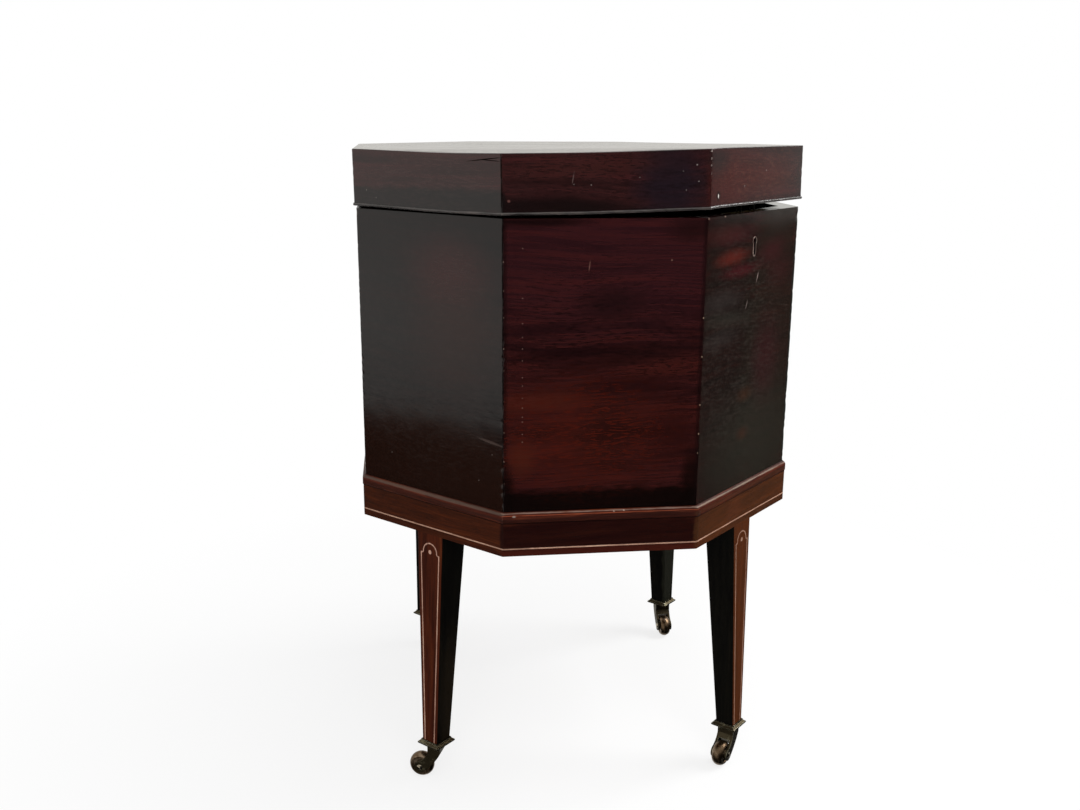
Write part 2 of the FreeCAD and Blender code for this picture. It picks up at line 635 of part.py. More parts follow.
HINGES = {"left": -HINGE_OUT, "right": HINGE_OUT}


def as_it_stands(shape):
    """Swing a piece of the closed lid about the hinge pins to where the lid rests."""
    return turned(shape, LID_AJAR, Vector(0, HINGE_Y, HINGE_Z), Vector(-1, 0, 0))


def hinges():
    pins, case_screws, lid_screws = [], [], []
    for side, middle in HINGES.items():
        left = middle - HINGE_LENGTH / 2
        save("hinge_%s_case_leaf" % side, hinge_leaf(middle, lid=False))
        save("hinge_%s_lid_leaf" % side, as_it_stands(hinge_leaf(middle, lid=True)))
        pins.append(rod(HINGE_PIN_RADIUS, Vector(left, HINGE_Y, HINGE_Z),
                        Vector(left + HINGE_LENGTH, HINGE_Y, HINGE_Z)))
        for x, y in hinge_screw_places(middle):
            case_screws.append(placed(screw(HINGE_SCREW), x, y, RIM_Z, "up"))
            lid_screws.append(as_it_stands(placed(screw(HINGE_SCREW), x, y, LID_Z, "down")))
    save("hinge_pins", *pins)
    save("hinge_case_screws", *case_screws)
    save("hinge_lid_screws", *lid_screws)


# ---------------------------------------------------------------- lock
def selvedge_screw_places():
    return [(side * (SELVEDGE_LONG + LOCK_WIDE) / 4, LINK_Y) for side in (-1, 1)]


def cap_screw_places():
    return [(side * (CAP_LONG + LOCK_WIDE) / 4, RIM_Z - CAP_SCREW_DOWN) for side in (-1, 1)]


def lock_body():
    """The space that the lock takes out of the front of the case."""
    low = RIM_Z - LOCK_HIGH
    body = block(-LOCK_WIDE / 2, LOCK_Y, low, LOCK_WIDE / 2, -CASE_IN_R, RIM_Z)
    top = block(-SELVEDGE_LONG / 2, LOCK_Y, RIM_Z - SELVEDGE_THICK,
                SELVEDGE_LONG / 2, -CASE_IN_R, RIM_Z)
    cap = block(-CAP_LONG / 2, CAP_Y, low, CAP_LONG / 2, -CASE_IN_R, RIM_Z - SELVEDGE_THICK)
    return body.fuse([top, cap]).removeSplitter()


def lock_fixings(make):
    holes = [placed(make(LOCK_SCREW), x, y, RIM_Z, "up") for x, y in selvedge_screw_places()]
    holes += [placed(make(LOCK_SCREW), x, -CASE_IN_R, z, "inside")
              for x, z in cap_screw_places()]
    return holes


def link(grow_x=0.0, grow_y=0.0):
    """One link of the link plate, on the middle line of the lock, hanging from the lid."""
    return block(-LINK_THICK / 2 - grow_x, LINK_Y - LINK_DEEP / 2 - grow_y, LID_Z - LINK_LONG,
                 LINK_THICK / 2 + grow_x, LINK_Y + LINK_DEEP / 2 + grow_y, LID_Z)


def lock():
    low = RIM_Z - LOCK_HIGH
    under = RIM_Z - SELVEDGE_THICK
    half = LOCK_WIDE / 2
    shell = block(-half, LOCK_Y, low, half, CAP_Y, under)
    inside = block(-half + LOCK_PLATE, LOCK_Y + LOCK_PLATE, low + LOCK_PLATE,
                   half - LOCK_PLATE, CAP_Y, under)
    selvedge = block(-SELVEDGE_LONG / 2, LOCK_Y, under, SELVEDGE_LONG / 2, -CASE_IN_R, RIM_Z)
    front = LOCK_Y + LOCK_PLATE
    peg_z = BOLT_Z - PEG_RADIUS
    pegs = [rod(PEG_RADIUS, Vector(x, LOCK_Y, peg_z), Vector(x, CAP_Y, peg_z))
            for x in (PEG_LEFT, PEG_RIGHT)]
    case = shell.cut(inside).fuse([selvedge] + pegs)
    for x in (-LINK_OUT, LINK_OUT):
        case = case.cut(moved(link(LINK_SLOT_PLAY, LINK_SLOT_PLAY), x=x))
    case = case.cut(keyhole(-KEYHOLE_RIM, LOCK_Y - PAST, front + PAST))
    for hole in lock_fixings(screw_blank):
        case = case.cut(hole)
    save("lock_case", case.removeSplitter())

    cap = block(-CAP_LONG / 2, CAP_Y, low, CAP_LONG / 2, -CASE_IN_R, under)
    for hole in lock_fixings(screw_blank):
        cap = cap.cut(hole)
    key_pin = rod(KEY_PIN_RADIUS, Vector(0, front, KEY_Z), Vector(0, -CASE_IN_R, KEY_Z))
    save("lock_cap", cap.fuse(key_pin).removeSplitter())
    save("lock_screws", *lock_fixings(screw))

    bar_y0, bar_y1 = front + CLEAR, CAP_Y - CLEAR
    tip_x = LINK_THICK / 2 + PRONG_PLAY
    prong_x = tip_x + BOLT_THROW + PRONG_PLAY + PRONG_WIDE
    bar = block(-LINK_OUT - prong_x, bar_y0, BOLT_Z, LINK_OUT + BOLT_TAIL, bar_y1,
                BOLT_Z + BOLT_BAR_HIGH)
    nose_z = RIM_Z - NOSE_DOWN
    hooks = []
    for x in (-LINK_OUT, LINK_OUT):
        hooks.append(block(x - prong_x, LINK_Y - NOSE_DEEP / 2, BOLT_Z,
                           x - prong_x + PRONG_WIDE, LINK_Y + NOSE_DEEP / 2, nose_z))
        hooks.append(block(x - prong_x, LINK_Y - NOSE_DEEP / 2, nose_z - NOSE_HIGH,
                           x - tip_x, LINK_Y + NOSE_DEEP / 2, nose_z))
    talon = block(-TALON_HALF, bar_y0 - PAST, BOLT_Z - PAST, TALON_HALF, bar_y1 + PAST,
                  BOLT_Z + TALON_HIGH)
    save("lock_bolt", bar.fuse(hooks).cut(talon).removeSplitter())

    foot_z = BOLT_Z - SPRING_DROP
    foot_top = foot_z + SPRING_THICK
    left = -half + LOCK_PLATE
    tip_x = left + SPRING_REACH
    tip_z = BOLT_Z - CLEAR
    spring = outline((left, foot_z), (left + SPRING_FOOT, foot_z),
                     (tip_x + SPRING_EASE, tip_z - SPRING_THICK),
                     (tip_x + SPRING_TURN, tip_z - 2 * SPRING_THICK),
                     (tip_x + SPRING_TURN, tip_z - SPRING_THICK), (tip_x, tip_z),
                     (left + SPRING_FOOT - SPRING_THICK, foot_top), (left, foot_top))
    save("lock_bolt_spring", moved(spring, y=bar_y0).extrude(Vector(0, bar_y1 - bar_y0, 0)))

    ring = keyhole(0, -BODY_R, -BODY_R + KEYHOLE_DEEP)
    save("keyhole_escutcheon", ring.cut(keyhole(-KEYHOLE_RIM, -BODY_R - PAST, LOCK_Y)))


def link_plate_body():
    half = LINK_PLATE_LONG / 2
    return block(-half, LINK_Y - LOCK_DEEP / 2, LID_Z, half, LINK_Y + LOCK_DEEP / 2,
                 LID_Z + LINK_PLATE_THICK)


def link_plate_screw_places():
    return [(side * (LINK_PLATE_LONG / 2 - LINK_SCREW_IN), LINK_Y) for side in (-1, 1)]


def link_plate():
    plate = link_plate_body()
    eye_top = LID_Z - LINK_EYE_DOWN
    for x in (-LINK_OUT, LINK_OUT):
        eye = block(-LINK_THICK, LINK_Y - LINK_EYE_DEEP / 2, eye_top - LINK_EYE_HIGH,
                    LINK_THICK, LINK_Y + LINK_EYE_DEEP / 2, eye_top)
        plate = plate.fuse(moved(link().cut(eye), x=x))
    screws = []
    for x, y in link_plate_screw_places():
        plate = plate.cut(placed(screw_blank(LINK_SCREW), x, y, LID_Z, "down"))
        screws.append(as_it_stands(placed(screw(LINK_SCREW), x, y, LID_Z, "down")))
    save("link_plate", as_it_stands(plate.removeSplitter()))
    save("link_plate_screws", *screws)


# ---------------------------------------------------------------- case
def case():
    plain = board(CASE_IN_R, BODY_R, CASE_Z, RIM_Z)
    sides = {face: mitred(plain, face) for face in FACES}
    sides["front"] = sides["front"].cut(lock_body())
    sides["front"] = sides["front"].cut(keyhole(-KEYHOLE_RIM, -BODY_R - PAST, LOCK_Y + PAST))
    sides["front"] = sides["front"].cut(keyhole(0, -BODY_R - PAST, -BODY_R + KEYHOLE_DEEP))
    for hole in lock_fixings(screw_blank):
        sides["front"] = sides["front"].cut(hole)
    for middle in HINGES.values():
        for tool in hinge_recess(middle, lid=False):
            sides["back"] = sides["back"].cut(tool)
    for face, place in zip(DIAGONALS, case_screw_places()):
        hole = placed(screw_blank(CASE_SCREW), place.x, place.y, place.z, "down")
        sides[face] = sides[face].cut(hole)
    for face in ("front", "back", "left", "right"):
        save("case_side_" + face, sides[face])
    save("case_sides_front_diagonal", sides["front_left"], sides["front_right"])
    save("case_sides_back_diagonal", sides["back_left"], sides["back_right"])
    save("case_bottom_board", octagon(CASE_IN_R, CASE_Z, LINER_Z))


# ---------------------------------------------------------------- liner and divisions
def liner():
    """Folded zinc liner, loose in the case, with a lip turned in at its top edge."""
    outer = CASE_IN_R - SLIP
    top = RIM_Z - LINER_BELOW_RIM
    tub = octagon(outer, LINER_Z, top).cut(octagon(outer - LINER_THICK,
                                                   LINER_Z + LINER_THICK, top + PAST))
    lip = octagon(outer, top - LINER_THICK, top).cut(octagon(outer - LINER_LIP,
                                                             top - LINER_THICK - PAST,
                                                             top + PAST))
    save("zinc_liner", tub.fuse(lip).removeSplitter())


def dividers():
    """Four boards halved over each other make nine bottle cells."""
    reach = CASE_IN_R - SLIP - LINER_THICK - SLIP
    half = DIVIDER_THICK / 2
    z0 = LINER_Z + LINER_THICK
    z1 = z0 + DIVIDER_HIGH
    middle = (z0 + z1) / 2
    slot = half + HALVING_PLAY
    plain = block(-reach, -half, z0, reach, half, z1)
    long, cross = plain, plain
    for x in (-DIVIDER_OUT, DIVIDER_OUT):
        long = long.cut(block(x - slot, -2 * half, middle, x + slot, 2 * half, z1 + PAST))
        cross = cross.cut(block(x - slot, -2 * half, z0 - PAST, x + slot, 2 * half, middle))
    save("bottle_dividers_long", *[moved(long, y=y) for y in (-DIVIDER_OUT, DIVIDER_OUT)])
    cross = turned(cross, 90)
    save("bottle_dividers_cross", *[moved(cross, x=x) for x in (-DIVIDER_OUT, DIVIDER_OUT)])


# ---------------------------------------------------------------- lid
def lid_rail_section():
    """Lid side: rebated inside for the top board and outside for the cock bead."""
    arris = LID_ARRIS * (1 - math.sqrt(0.5))
    bead_top = LID_Z + BEAD_HEIGHT
    return outline((LID_IN_R, LID_Z), (BEAD_IN_R, LID_Z), (BEAD_IN_R, bead_top),
                   (LID_R, bead_top), (LID_R, LID_TOP_Z - LID_ARRIS),
                   ((LID_R - arris, LID_TOP_Z - arris), (LID_R - LID_ARRIS, LID_TOP_Z)),
                   (LID_BOARD_R, LID_TOP_Z), (LID_BOARD_R, LID_BOARD_Z),
                   (LID_IN_R, LID_BOARD_Z))


def bead_section():
    """Cock bead with a half-round nose."""
    nose = BEAD_R - BEAD_HEIGHT / 2
    return outline((BEAD_IN_R, LID_Z), (nose, LID_Z),
                   ((BEAD_R, LID_Z + BEAD_HEIGHT / 2), (nose, LID_Z + BEAD_HEIGHT)),
                   (BEAD_IN_R, LID_Z + BEAD_HEIGHT))


def lid():
    rails = {face: mitred(lid_rail_section(), face) for face in FACES}
    beads = {face: mitred(bead_section(), face) for face in FACES}
    for middle in HINGES.values():
        for tool in hinge_recess(middle, lid=True):
            rails["back"] = rails["back"].cut(tool)
            beads["back"] = beads["back"].cut(tool)
    rails["front"] = rails["front"].cut(link_plate_body())
    for x, y in link_plate_screw_places():
        hole = placed(screw_blank(LINK_SCREW), x, y, LID_Z, "down")
        rails["front"] = rails["front"].cut(hole)
    rails = {face: as_it_stands(rail) for face, rail in rails.items()}
    save("lid_rail_front", rails["front"])
    save("lid_rail_back", rails["back"])
    save("lid_rails_left_right", rails["left"], rails["right"])
    save("lid_rails_diagonal", *[rails[f] for f in DIAGONALS])
    save("lid_cock_beads", *[as_it_stands(bead) for bead in beads.values()])
    save("lid_top_board", as_it_stands(octagon(LID_BOARD_R, LID_BOARD_Z, LID_TOP_Z)))

    corner = (LID_IN_R, LID_BOARD_Z)
    section = outline(corner, (corner[0], corner[1] - LID_BLOCK), (corner[0] - LID_BLOCK, corner[1]))
    strip = moved(section, y=-LID_BLOCK_LENGTH / 2).extrude(Vector(0, LID_BLOCK_LENGTH, 0))
    save("lid_glue_blocks", *[as_it_stands(turned(strip, a)) for a in FACES.values()])


# ---------------------------------------------------------------- the whole
stand()
legs()
castors()
case()
liner()
dividers()
lock()
link_plate()
hinges()
lid()
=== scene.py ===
"""An old mahogany cellarette: an eight-sided bottle box with a lid, in a strung stand on castors."""

import json
import math

import bmesh
import bpy
from mathutils import Matrix, Vector, noise

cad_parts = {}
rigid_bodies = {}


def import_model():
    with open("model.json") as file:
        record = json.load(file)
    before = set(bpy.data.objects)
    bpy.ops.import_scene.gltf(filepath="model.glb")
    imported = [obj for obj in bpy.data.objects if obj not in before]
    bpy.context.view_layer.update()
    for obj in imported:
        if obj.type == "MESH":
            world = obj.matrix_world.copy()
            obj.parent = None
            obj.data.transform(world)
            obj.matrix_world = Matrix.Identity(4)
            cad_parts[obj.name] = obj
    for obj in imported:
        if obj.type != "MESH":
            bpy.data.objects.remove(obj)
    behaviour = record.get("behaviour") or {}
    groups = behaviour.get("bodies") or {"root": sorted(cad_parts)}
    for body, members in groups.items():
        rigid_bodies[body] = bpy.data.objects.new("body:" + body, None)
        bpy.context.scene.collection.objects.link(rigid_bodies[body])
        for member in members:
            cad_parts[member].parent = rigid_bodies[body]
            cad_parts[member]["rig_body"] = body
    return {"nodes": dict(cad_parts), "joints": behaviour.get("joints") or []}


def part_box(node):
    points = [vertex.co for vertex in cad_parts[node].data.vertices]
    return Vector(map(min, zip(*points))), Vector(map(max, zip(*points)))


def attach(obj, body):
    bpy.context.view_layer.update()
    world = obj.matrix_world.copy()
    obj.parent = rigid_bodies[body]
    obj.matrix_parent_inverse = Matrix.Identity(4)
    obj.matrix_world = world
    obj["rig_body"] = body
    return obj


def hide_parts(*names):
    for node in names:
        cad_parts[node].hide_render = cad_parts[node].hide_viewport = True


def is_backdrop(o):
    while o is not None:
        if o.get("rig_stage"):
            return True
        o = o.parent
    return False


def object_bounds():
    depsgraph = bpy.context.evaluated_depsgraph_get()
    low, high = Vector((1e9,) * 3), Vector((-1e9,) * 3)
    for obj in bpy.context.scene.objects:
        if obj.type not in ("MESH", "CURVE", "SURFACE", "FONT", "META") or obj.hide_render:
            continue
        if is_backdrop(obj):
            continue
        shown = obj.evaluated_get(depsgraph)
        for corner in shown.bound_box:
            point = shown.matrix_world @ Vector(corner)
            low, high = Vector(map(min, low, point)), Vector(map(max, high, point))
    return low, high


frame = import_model()
cad_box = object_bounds()
nodes = frame["nodes"]

# --- Legs ---------------------------------------------------------------------------------------
# Four square tapered legs of solid mahogany, tenoned up into the stand rails. The outer face of
# each is polished, with an arched line and a dot of boxwood let into it; the other three faces
# are stained black, as on cheaper ebonised work. The long arrises are worn round.

MM = 0.001
EIGHTH = 45                      # degrees from one face of the octagon to the next
UPRIGHT = Matrix.Identity(4)
LEFT, CORNER, FRONT = 180, 225, 270                # which way a face looks, in degrees from +X
LEG_FACES = {"leg_front": FRONT, "leg_back": 90, "leg_left": LEFT, "leg_right": 0}
LEG_ARRIS = 0.9 * MM
LONG_EDGE = 150 * MM             # only the edges that run the length of a leg are this long
ONE_FLAT = math.radians(0.3)     # faces that turn by less than this are one flat face


def tone(code):
    """The linear colour of an sRGB hex value."""
    shares = [int(code[i:i + 2], 16) / 255 for i in (1, 3, 5)]
    linear = [c / 12.92 if c <= 0.04045 else ((c + 0.055) / 1.055) ** 2.4 for c in shares]
    return (*linear, 1.0)


def add(tree, kind, inputs=(), out=0, **settings):
    """Adds a node with its settings and links, and gives back one of its outputs."""
    node = tree.nodes.new(kind)
    for name, value in settings.items():
        setattr(node, name, value)
    for key, value in dict(inputs).items():
        if isinstance(value, bpy.types.NodeSocket):
            tree.links.new(value, node.inputs[key])
        else:
            node.inputs[key].default_value = value
    return node.outputs[out]


def laid_over(tree, under, code, pattern, starts, full, most=1.0):
    """A colour laid over another. There is none of it where the pattern is at starts, and it is at
    its most where the pattern is at full."""
    share = add(tree, "ShaderNodeMapRange", {"Value": pattern, "From Min": starts, "From Max": full,
                                             "To Max": most}, interpolation_type="SMOOTHSTEP")
    return add(tree, "ShaderNodeMix", {0: share, 6: under, 7: tone(code)}, out=2, data_type="RGBA")


def grown(tree, board, size, detail):
    """A pattern as wood grows it: lumps of this length along the grain and width across it, in mm."""
    length, width = (extent * MM for extent in size)
    stretched = add(tree, "ShaderNodeVectorMath", {0: board, 1: (1 / length, 1 / width, 1 / width)},
                    operation="MULTIPLY")
    return add(tree, "ShaderNodeTexNoise", {"Vector": stretched, "Scale": 1.0, "Detail": detail},
               out="Fac")


def new_material(name, shader_values):
    """A material with its constant values set on the shader's own sockets."""
    material = bpy.data.materials.new(name)
    material.use_nodes = True
    shader = material.node_tree.nodes["Principled BSDF"]
    for key, value in shader_values.items():
        shader.inputs[key].default_value = value
    return material, material.node_tree, shader


def along_grain(tree, grain):
    """Metres along the grain, across it and in from the face: from the piece's own board
    coordinates, or for a plain board from its axis."""
    if grain == "board":
        return add(tree, "ShaderNodeAttribute", out="Vector", attribute_name="board")
    turn = {"x": (0, 0, 0), "y": (0, 0, -math.pi / 2), "z": (0, math.pi / 2, 0)}[grain]
    place = add(tree, "ShaderNodeTexCoord", out="Object")
    return add(tree, "ShaderNodeMapping", {"Vector": place, "Rotation": turn})


SWAYS = 6.0                      # per metre: the grain sways over about 170 mm,
SWAY = (30 * MM, 22 * MM, 10 * MM)                 # by this much along, across and into the board
CLOUDS = 22.0                    # per metre: a hand-rubbed polish is uneven over about 45 mm
PORES = (9, 0.9)                 # mm: three times as wide as real ones, so that they show
PORE_EDGE = (0.58, 0.72)         # a pore is where its pattern passes from the first to the second
FLECKS = (8, 1.4)                # mm: high spots of the grain
RAGS = (14, 4)                   # mm: lumps that make the edge of a mark ragged
SHINE = 0.5                      # the usual level of specular reflection


def wood(name, tones, figure, streak, polish, marks=(), grain="board", worn="#6a4630", pore=1.0,
         dull=0.12, ior=1.5, line=1.0, tooth=0.0):
    """Planed wood. tones are its dark, middle and light colours. figure and streak are the length
    and width in mm of the broad bands and the fine lines, and line how strong the fine ones are.
    polish is how rough the finish is, and dull how much rougher its dullest clouds are. A thin or
    tired polish has a low ior. worn is the colour of rubbed arrises, pore says how open the pores
    are, and tooth how rough the surface has been left."""
    material, tree, shader = new_material(name, {"IOR": ior, "Metallic": 0.0})
    board = along_grain(tree, grain)
    sway = add(tree, "ShaderNodeTexNoise", {"Vector": board, "Scale": SWAYS, "Detail": 1.0},
               out="Color")
    sway = add(tree, "ShaderNodeVectorMath", {0: sway, 1: (0.5, 0.5, 0.5)}, operation="SUBTRACT")
    sway = add(tree, "ShaderNodeVectorMath", {0: sway, 1: SWAY}, operation="MULTIPLY")
    bent = add(tree, "ShaderNodeVectorMath", {0: board, 1: sway}, operation="ADD")
    bands = grown(tree, bent, figure, 3.0)
    lines = grown(tree, bent, streak, 2.0)
    pits = grown(tree, bent, PORES, 1.0)
    ragged = grown(tree, bent, RAGS, 2.0)
    flecks = add(tree, "ShaderNodeMapRange", {"Value": grown(tree, bent, FLECKS, 1.0), "From Min": 0.5,
                                              "From Max": 0.66}, interpolation_type="SMOOTHSTEP")
    dark, middle, light = tones
    colour = laid_over(tree, tone(dark), middle, bands, 0.32, 0.52)
    colour = laid_over(tree, colour, light, bands, 0.52, 0.74)
    colour = laid_over(tree, colour, dark, lines, 0.45, 0.68, 0.6 * line)
    colour = laid_over(tree, colour, light, lines, 0.5, 0.3, 0.35 * line)
    place = add(tree, "ShaderNodeTexCoord", out="Object")
    shine = SHINE
    for mark in marks:
        share = mark_share(tree, place, ragged, mark)
        if mark["flecked"]:
            share = add(tree, "ShaderNodeMath", {0: share, 1: flecks}, operation="MULTIPLY")
        colour = add(tree, "ShaderNodeMix", {0: share, 6: colour, 7: tone(mark["colour"])}, out=2,
                     data_type="RGBA")
        if mark["crack"]:
            kept = add(tree, "ShaderNodeMath", {0: 1.0, 1: share}, operation="SUBTRACT")
            shine = add(tree, "ShaderNodeMath", {0: shine, 1: kept}, operation="MULTIPLY")
    if any(mark["crack"] for mark in marks):
        tree.links.new(shine, shader.inputs["Specular IOR Level"])
    colour = laid_over(tree, colour, "#0a0504", pits, *PORE_EDGE, 0.45 * pore)
    if grain == "board":
        rubbed = add(tree, "ShaderNodeAttribute", out="Fac", attribute_name="wear")
        uneven = add(tree, "ShaderNodeMath", {0: rubbed, 1: ragged}, operation="MULTIPLY")
        colour = laid_over(tree, colour, worn, uneven, 0.3, 0.62)
    tree.links.new(colour, shader.inputs["Base Color"])
    pores = add(tree, "ShaderNodeMapRange", {"Value": pits, "From Min": PORE_EDGE[0],
                                             "From Max": PORE_EDGE[1]}, interpolation_type="SMOOTHSTEP")
    clouds = add(tree, "ShaderNodeTexNoise", {"Vector": board, "Scale": CLOUDS, "Detail": 3.0},
                 out="Fac")
    rough = add(tree, "ShaderNodeMath", {0: clouds, 1: dull, 2: polish}, operation="MULTIPLY_ADD")
    rough = add(tree, "ShaderNodeMath", {0: pores, 1: 0.15 * pore, 2: rough}, operation="MULTIPLY_ADD")
    tree.links.new(rough, shader.inputs["Roughness"])
    hollow = add(tree, "ShaderNodeBump", {"Height": pores, "Strength": 0.25 * pore,
                                          "Distance": 0.2 * MM}, invert=True)
    swell = add(tree, "ShaderNodeTexNoise", {"Vector": board, "Scale": CLOUDS, "Detail": 1.0},
                out="Fac")
    wavy = add(tree, "ShaderNodeBump", {"Height": swell, "Strength": 0.25, "Distance": 0.6 * MM,
                                        "Normal": hollow})
    if tooth:
        wavy = add(tree, "ShaderNodeBump", {"Height": ragged, "Strength": tooth, "Distance": 0.8 * MM,
                                            "Normal": wavy})
    tree.links.new(wavy, shader.inputs["Normal"])
    return material


def mark_share(tree, place, ragged, mark):
    """How much of a mark lies here. Its edge is soft and wanders."""
    local = add(tree, "ShaderNodeMapping", {"Vector": place, "Location": mark["centre"],
                                            "Rotation": mark["turn"], "Scale": mark["size"]},
                vector_type="TEXTURE")
    far = add(tree, "ShaderNodeVectorMath", {0: local}, out="Value", operation="LENGTH")
    far = add(tree, "ShaderNodeMath", {0: ragged, 1: 2 * mark["wander"], 2: far},
              operation="MULTIPLY_ADD")
    edge = 1 + mark["wander"]
    return add(tree, "ShaderNodeMapRange", {
        "Value": far, "From Min": edge + mark["soft"], "From Max": edge - mark["soft"],
        "To Max": mark["share"]}, interpolation_type="SMOOTHSTEP")


def out_to(node):
    """How far a node's outer face stands from the middle of the octagon, in mm."""
    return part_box(node)[1].x / MM


CASE_R = out_to("case_side_right")


def mark_at(face, along, up, half_long, half_high, colour, share=1.0, soft=0.5, lean=0.0,
            wander=0.3, reach=CASE_R, base=UPRIGHT, deep=3.0, flecked=False, crack=False):
    """A stain, chip or scratch on one face of the octagon, placed and sized in mm. lean turns it,
    in degrees. soft and wander say how blurred and how ragged its edge is. It marks no surface
    further than deep from reach. A flecked one only marks the high spots of the grain, and a crack
    takes the shine away as well."""
    place = base @ Matrix.Rotation(math.radians(face), 4, "Z")
    place = place @ Matrix.Translation((reach * MM, along * MM, up * MM))
    place = place @ Matrix.Rotation(math.radians(lean), 4, "X")
    return {"turn": place.to_euler(), "centre": place.translation, "colour": colour,
            "size": (deep * MM, half_long * MM, half_high * MM), "share": share, "soft": soft,
            "wander": wander, "flecked": flecked, "crack": crack, "face": face}


def welded(bm):
    bmesh.ops.remove_doubles(bm, verts=bm.verts, dist=0.002 * MM)


def lay_grain(bm, place):
    """Writes the board coordinates: place gives them for a point."""
    layer = bm.loops.layers.float_vector.get("board") or bm.loops.layers.float_vector.new("board")
    for face in bm.faces:
        for loop in face.loops:
            loop[layer] = place(loop.vert.co)


CREASE = math.radians(30)        # the shading breaks at edges that turn by more than this


def finished(bm, node, materials, rounded=False):
    """The finished piece that stands for a node, on the node's own body. rounded smooths it all
    over, and otherwise its flats stay flat."""
    mesh = bpy.data.meshes.new(node + "_finished")
    bm.to_mesh(mesh)
    bm.free()
    for material in materials:
        mesh.materials.append(material)
    smooth = [rounded or face.use_smooth for face in mesh.polygons]
    mesh.set_sharp_from_angle(angle=CREASE)
    mesh.polygons.foreach_set("use_smooth", smooth)
    piece = bpy.data.objects.new(mesh.name, mesh)
    bpy.context.scene.collection.objects.link(piece)
    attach(piece, nodes[node]["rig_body"])
    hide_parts(node)
    return piece


def coat(material, *names):
    """Gives carried-over nodes their material."""
    for name in names:
        nodes[name].data.materials.clear()
        nodes[name].data.materials.append(material)


# Polished mahogany leg, red-brown with straight grain up the leg. The front leg, which faces the
# window, is a paler brown and the lines in it darker, all the way up.
FRONT_LEG = {"face": FRONT, "along": 0, "up": 150, "half_long": 60, "half_high": 300, "share": 0.6,
             "soft": 0.2, "reach": 232, "deep": 12}
LEG_MARKS = [mark_at(colour="#4c260a", **FRONT_LEG)]
leg_mahogany = wood("leg_mahogany_polished", ("#300f05", "#441908", "#54250c"), (160, 5), (40, 0.9),
                    0.42, LEG_MARKS, ior=1.17, line=0.7, pore=0.5)
# The same wood under a black spirit stain and a thin polish: nearly no grain shows.
BLACK_MARKS = [mark_at(FRONT, *mark, reach=reach, deep=8) for reach, *mark in (
    # painted sheen on the front face of the right leg, olive all over it and paler near its top; on the
    # front face of the left leg the stain has gone thin and brown at the foot
    (14, 222, 150, 15, 220, "#1e1e16", 0.8, 0.1),
    (15, 216, 240, 12, 70, "#34342a", 0.6, 0.8),
    (12, -216, 90, 16, 70, "#1e160c", 0.7, 0.6),
)]
leg_black = wood("leg_mahogany_stained_black", ("#060504", "#0a0906", "#120e08"), (160, 5), (40, 0.9),
                 0.45, BLACK_MARKS, worn="#24160e", ior=1.16)

for node, angle in LEG_FACES.items():
    leg = bmesh.new()
    leg.from_mesh(nodes[node].data)
    leg.transform(Matrix.Rotation(math.radians(-angle), 4, "Z"))
    welded(leg)
    bmesh.ops.dissolve_limit(leg, angle_limit=ONE_FLAT, verts=leg.verts, edges=leg.edges)
    long_edges = [e for e in leg.edges if e.calc_length() > LONG_EDGE]
    widest = max(abs(e.verts[0].co.y + e.verts[1].co.y) for e in long_edges)
    corners = [e for e in long_edges if abs(e.verts[0].co.y + e.verts[1].co.y) > widest - 2 * MM]
    rounds = bmesh.ops.bevel(leg, geom=corners, offset=LEG_ARRIS, segments=3, profile=0.5,
                             affect="EDGES")["faces"]
    leg.normal_update()
    for face in leg.faces:
        face.material_index = 0 if face.normal.x > 0.8 else 1
        face.smooth = face in rounds
    lay_grain(leg, lambda p: Vector((p.z, p.y, p.x + angle)))
    leg.transform(Matrix.Rotation(math.radians(angle), 4, "Z"))
    finished(leg, node, [leg_mahogany, leg_black])

# --- Leg inlay ----------------------------------------------------------------------------------
# Boxwood lines a millimetre wide, glued into scratched grooves and scraped flush. Old polish has
# turned them tan, and dirt lies along them.

INLAY_MARKS = [mark_at(colour="#6a4832", **FRONT_LEG)]
leg_boxwood = wood("boxwood_line_under_old_polish", ("#8a6454", "#b88c78", "#cca88e"), (30, 2),
                   (6, 0.5), 0.4, INLAY_MARKS, grain="z", pore=0.3)
coat(leg_boxwood, "leg_inlay")

# --- Castors ------------------------------------------------------------------------------------
# Cast brass castors: a square plate under each leg, a horn that turns on a riveted stem, and a solid
# wheel on a riveted axle. Brown with age, and rubbed bright on the treads; the edges are paler, partly
# rubbed and partly painted highlight.

PLATE_EASE = 0.45 * MM
PLATE_LEDGE = 43.5 * MM          # height of the step round each plate
HORN_EASE = 0.35 * MM
BLOTS = 140.0                    # per metre: old brass is blotched every 7 mm or so


def metal(name, skin, bare, rough, grit, show=(0.55, 0.75), metallic=1.0, bump=0.2 * MM, dirt=0.5):
    """Old metal. skin is the tarnish and bare is where it has rubbed off, which begins and is full
    at the two values of show. grit is the size in mm of the casting or tool texture, bump how deep
    it is, and dirt how black its hollows are."""
    material, tree, shader = new_material(name, {"Metallic": metallic})
    place = add(tree, "ShaderNodeTexCoord", out="Object")
    blots = add(tree, "ShaderNodeTexNoise", {"Vector": place, "Scale": BLOTS, "Detail": 4.0}, out="Fac")
    fine = add(tree, "ShaderNodeTexNoise", {"Vector": place, "Scale": 1 / (grit * MM), "Detail": 2.0},
               out="Fac")
    colour = laid_over(tree, tone(skin), bare, blots, *show)
    colour = laid_over(tree, colour, "#14100c", fine, 0.5, 0.75, dirt)
    tree.links.new(colour, shader.inputs["Base Color"])
    tree.links.new(add(tree, "ShaderNodeMath", {0: blots, 1: 0.3, 2: rough}, operation="MULTIPLY_ADD"),
                   shader.inputs["Roughness"])
    tree.links.new(add(tree, "ShaderNodeBump", {"Height": fine, "Strength": 0.4, "Distance": bump}),
                   shader.inputs["Normal"])
    return material
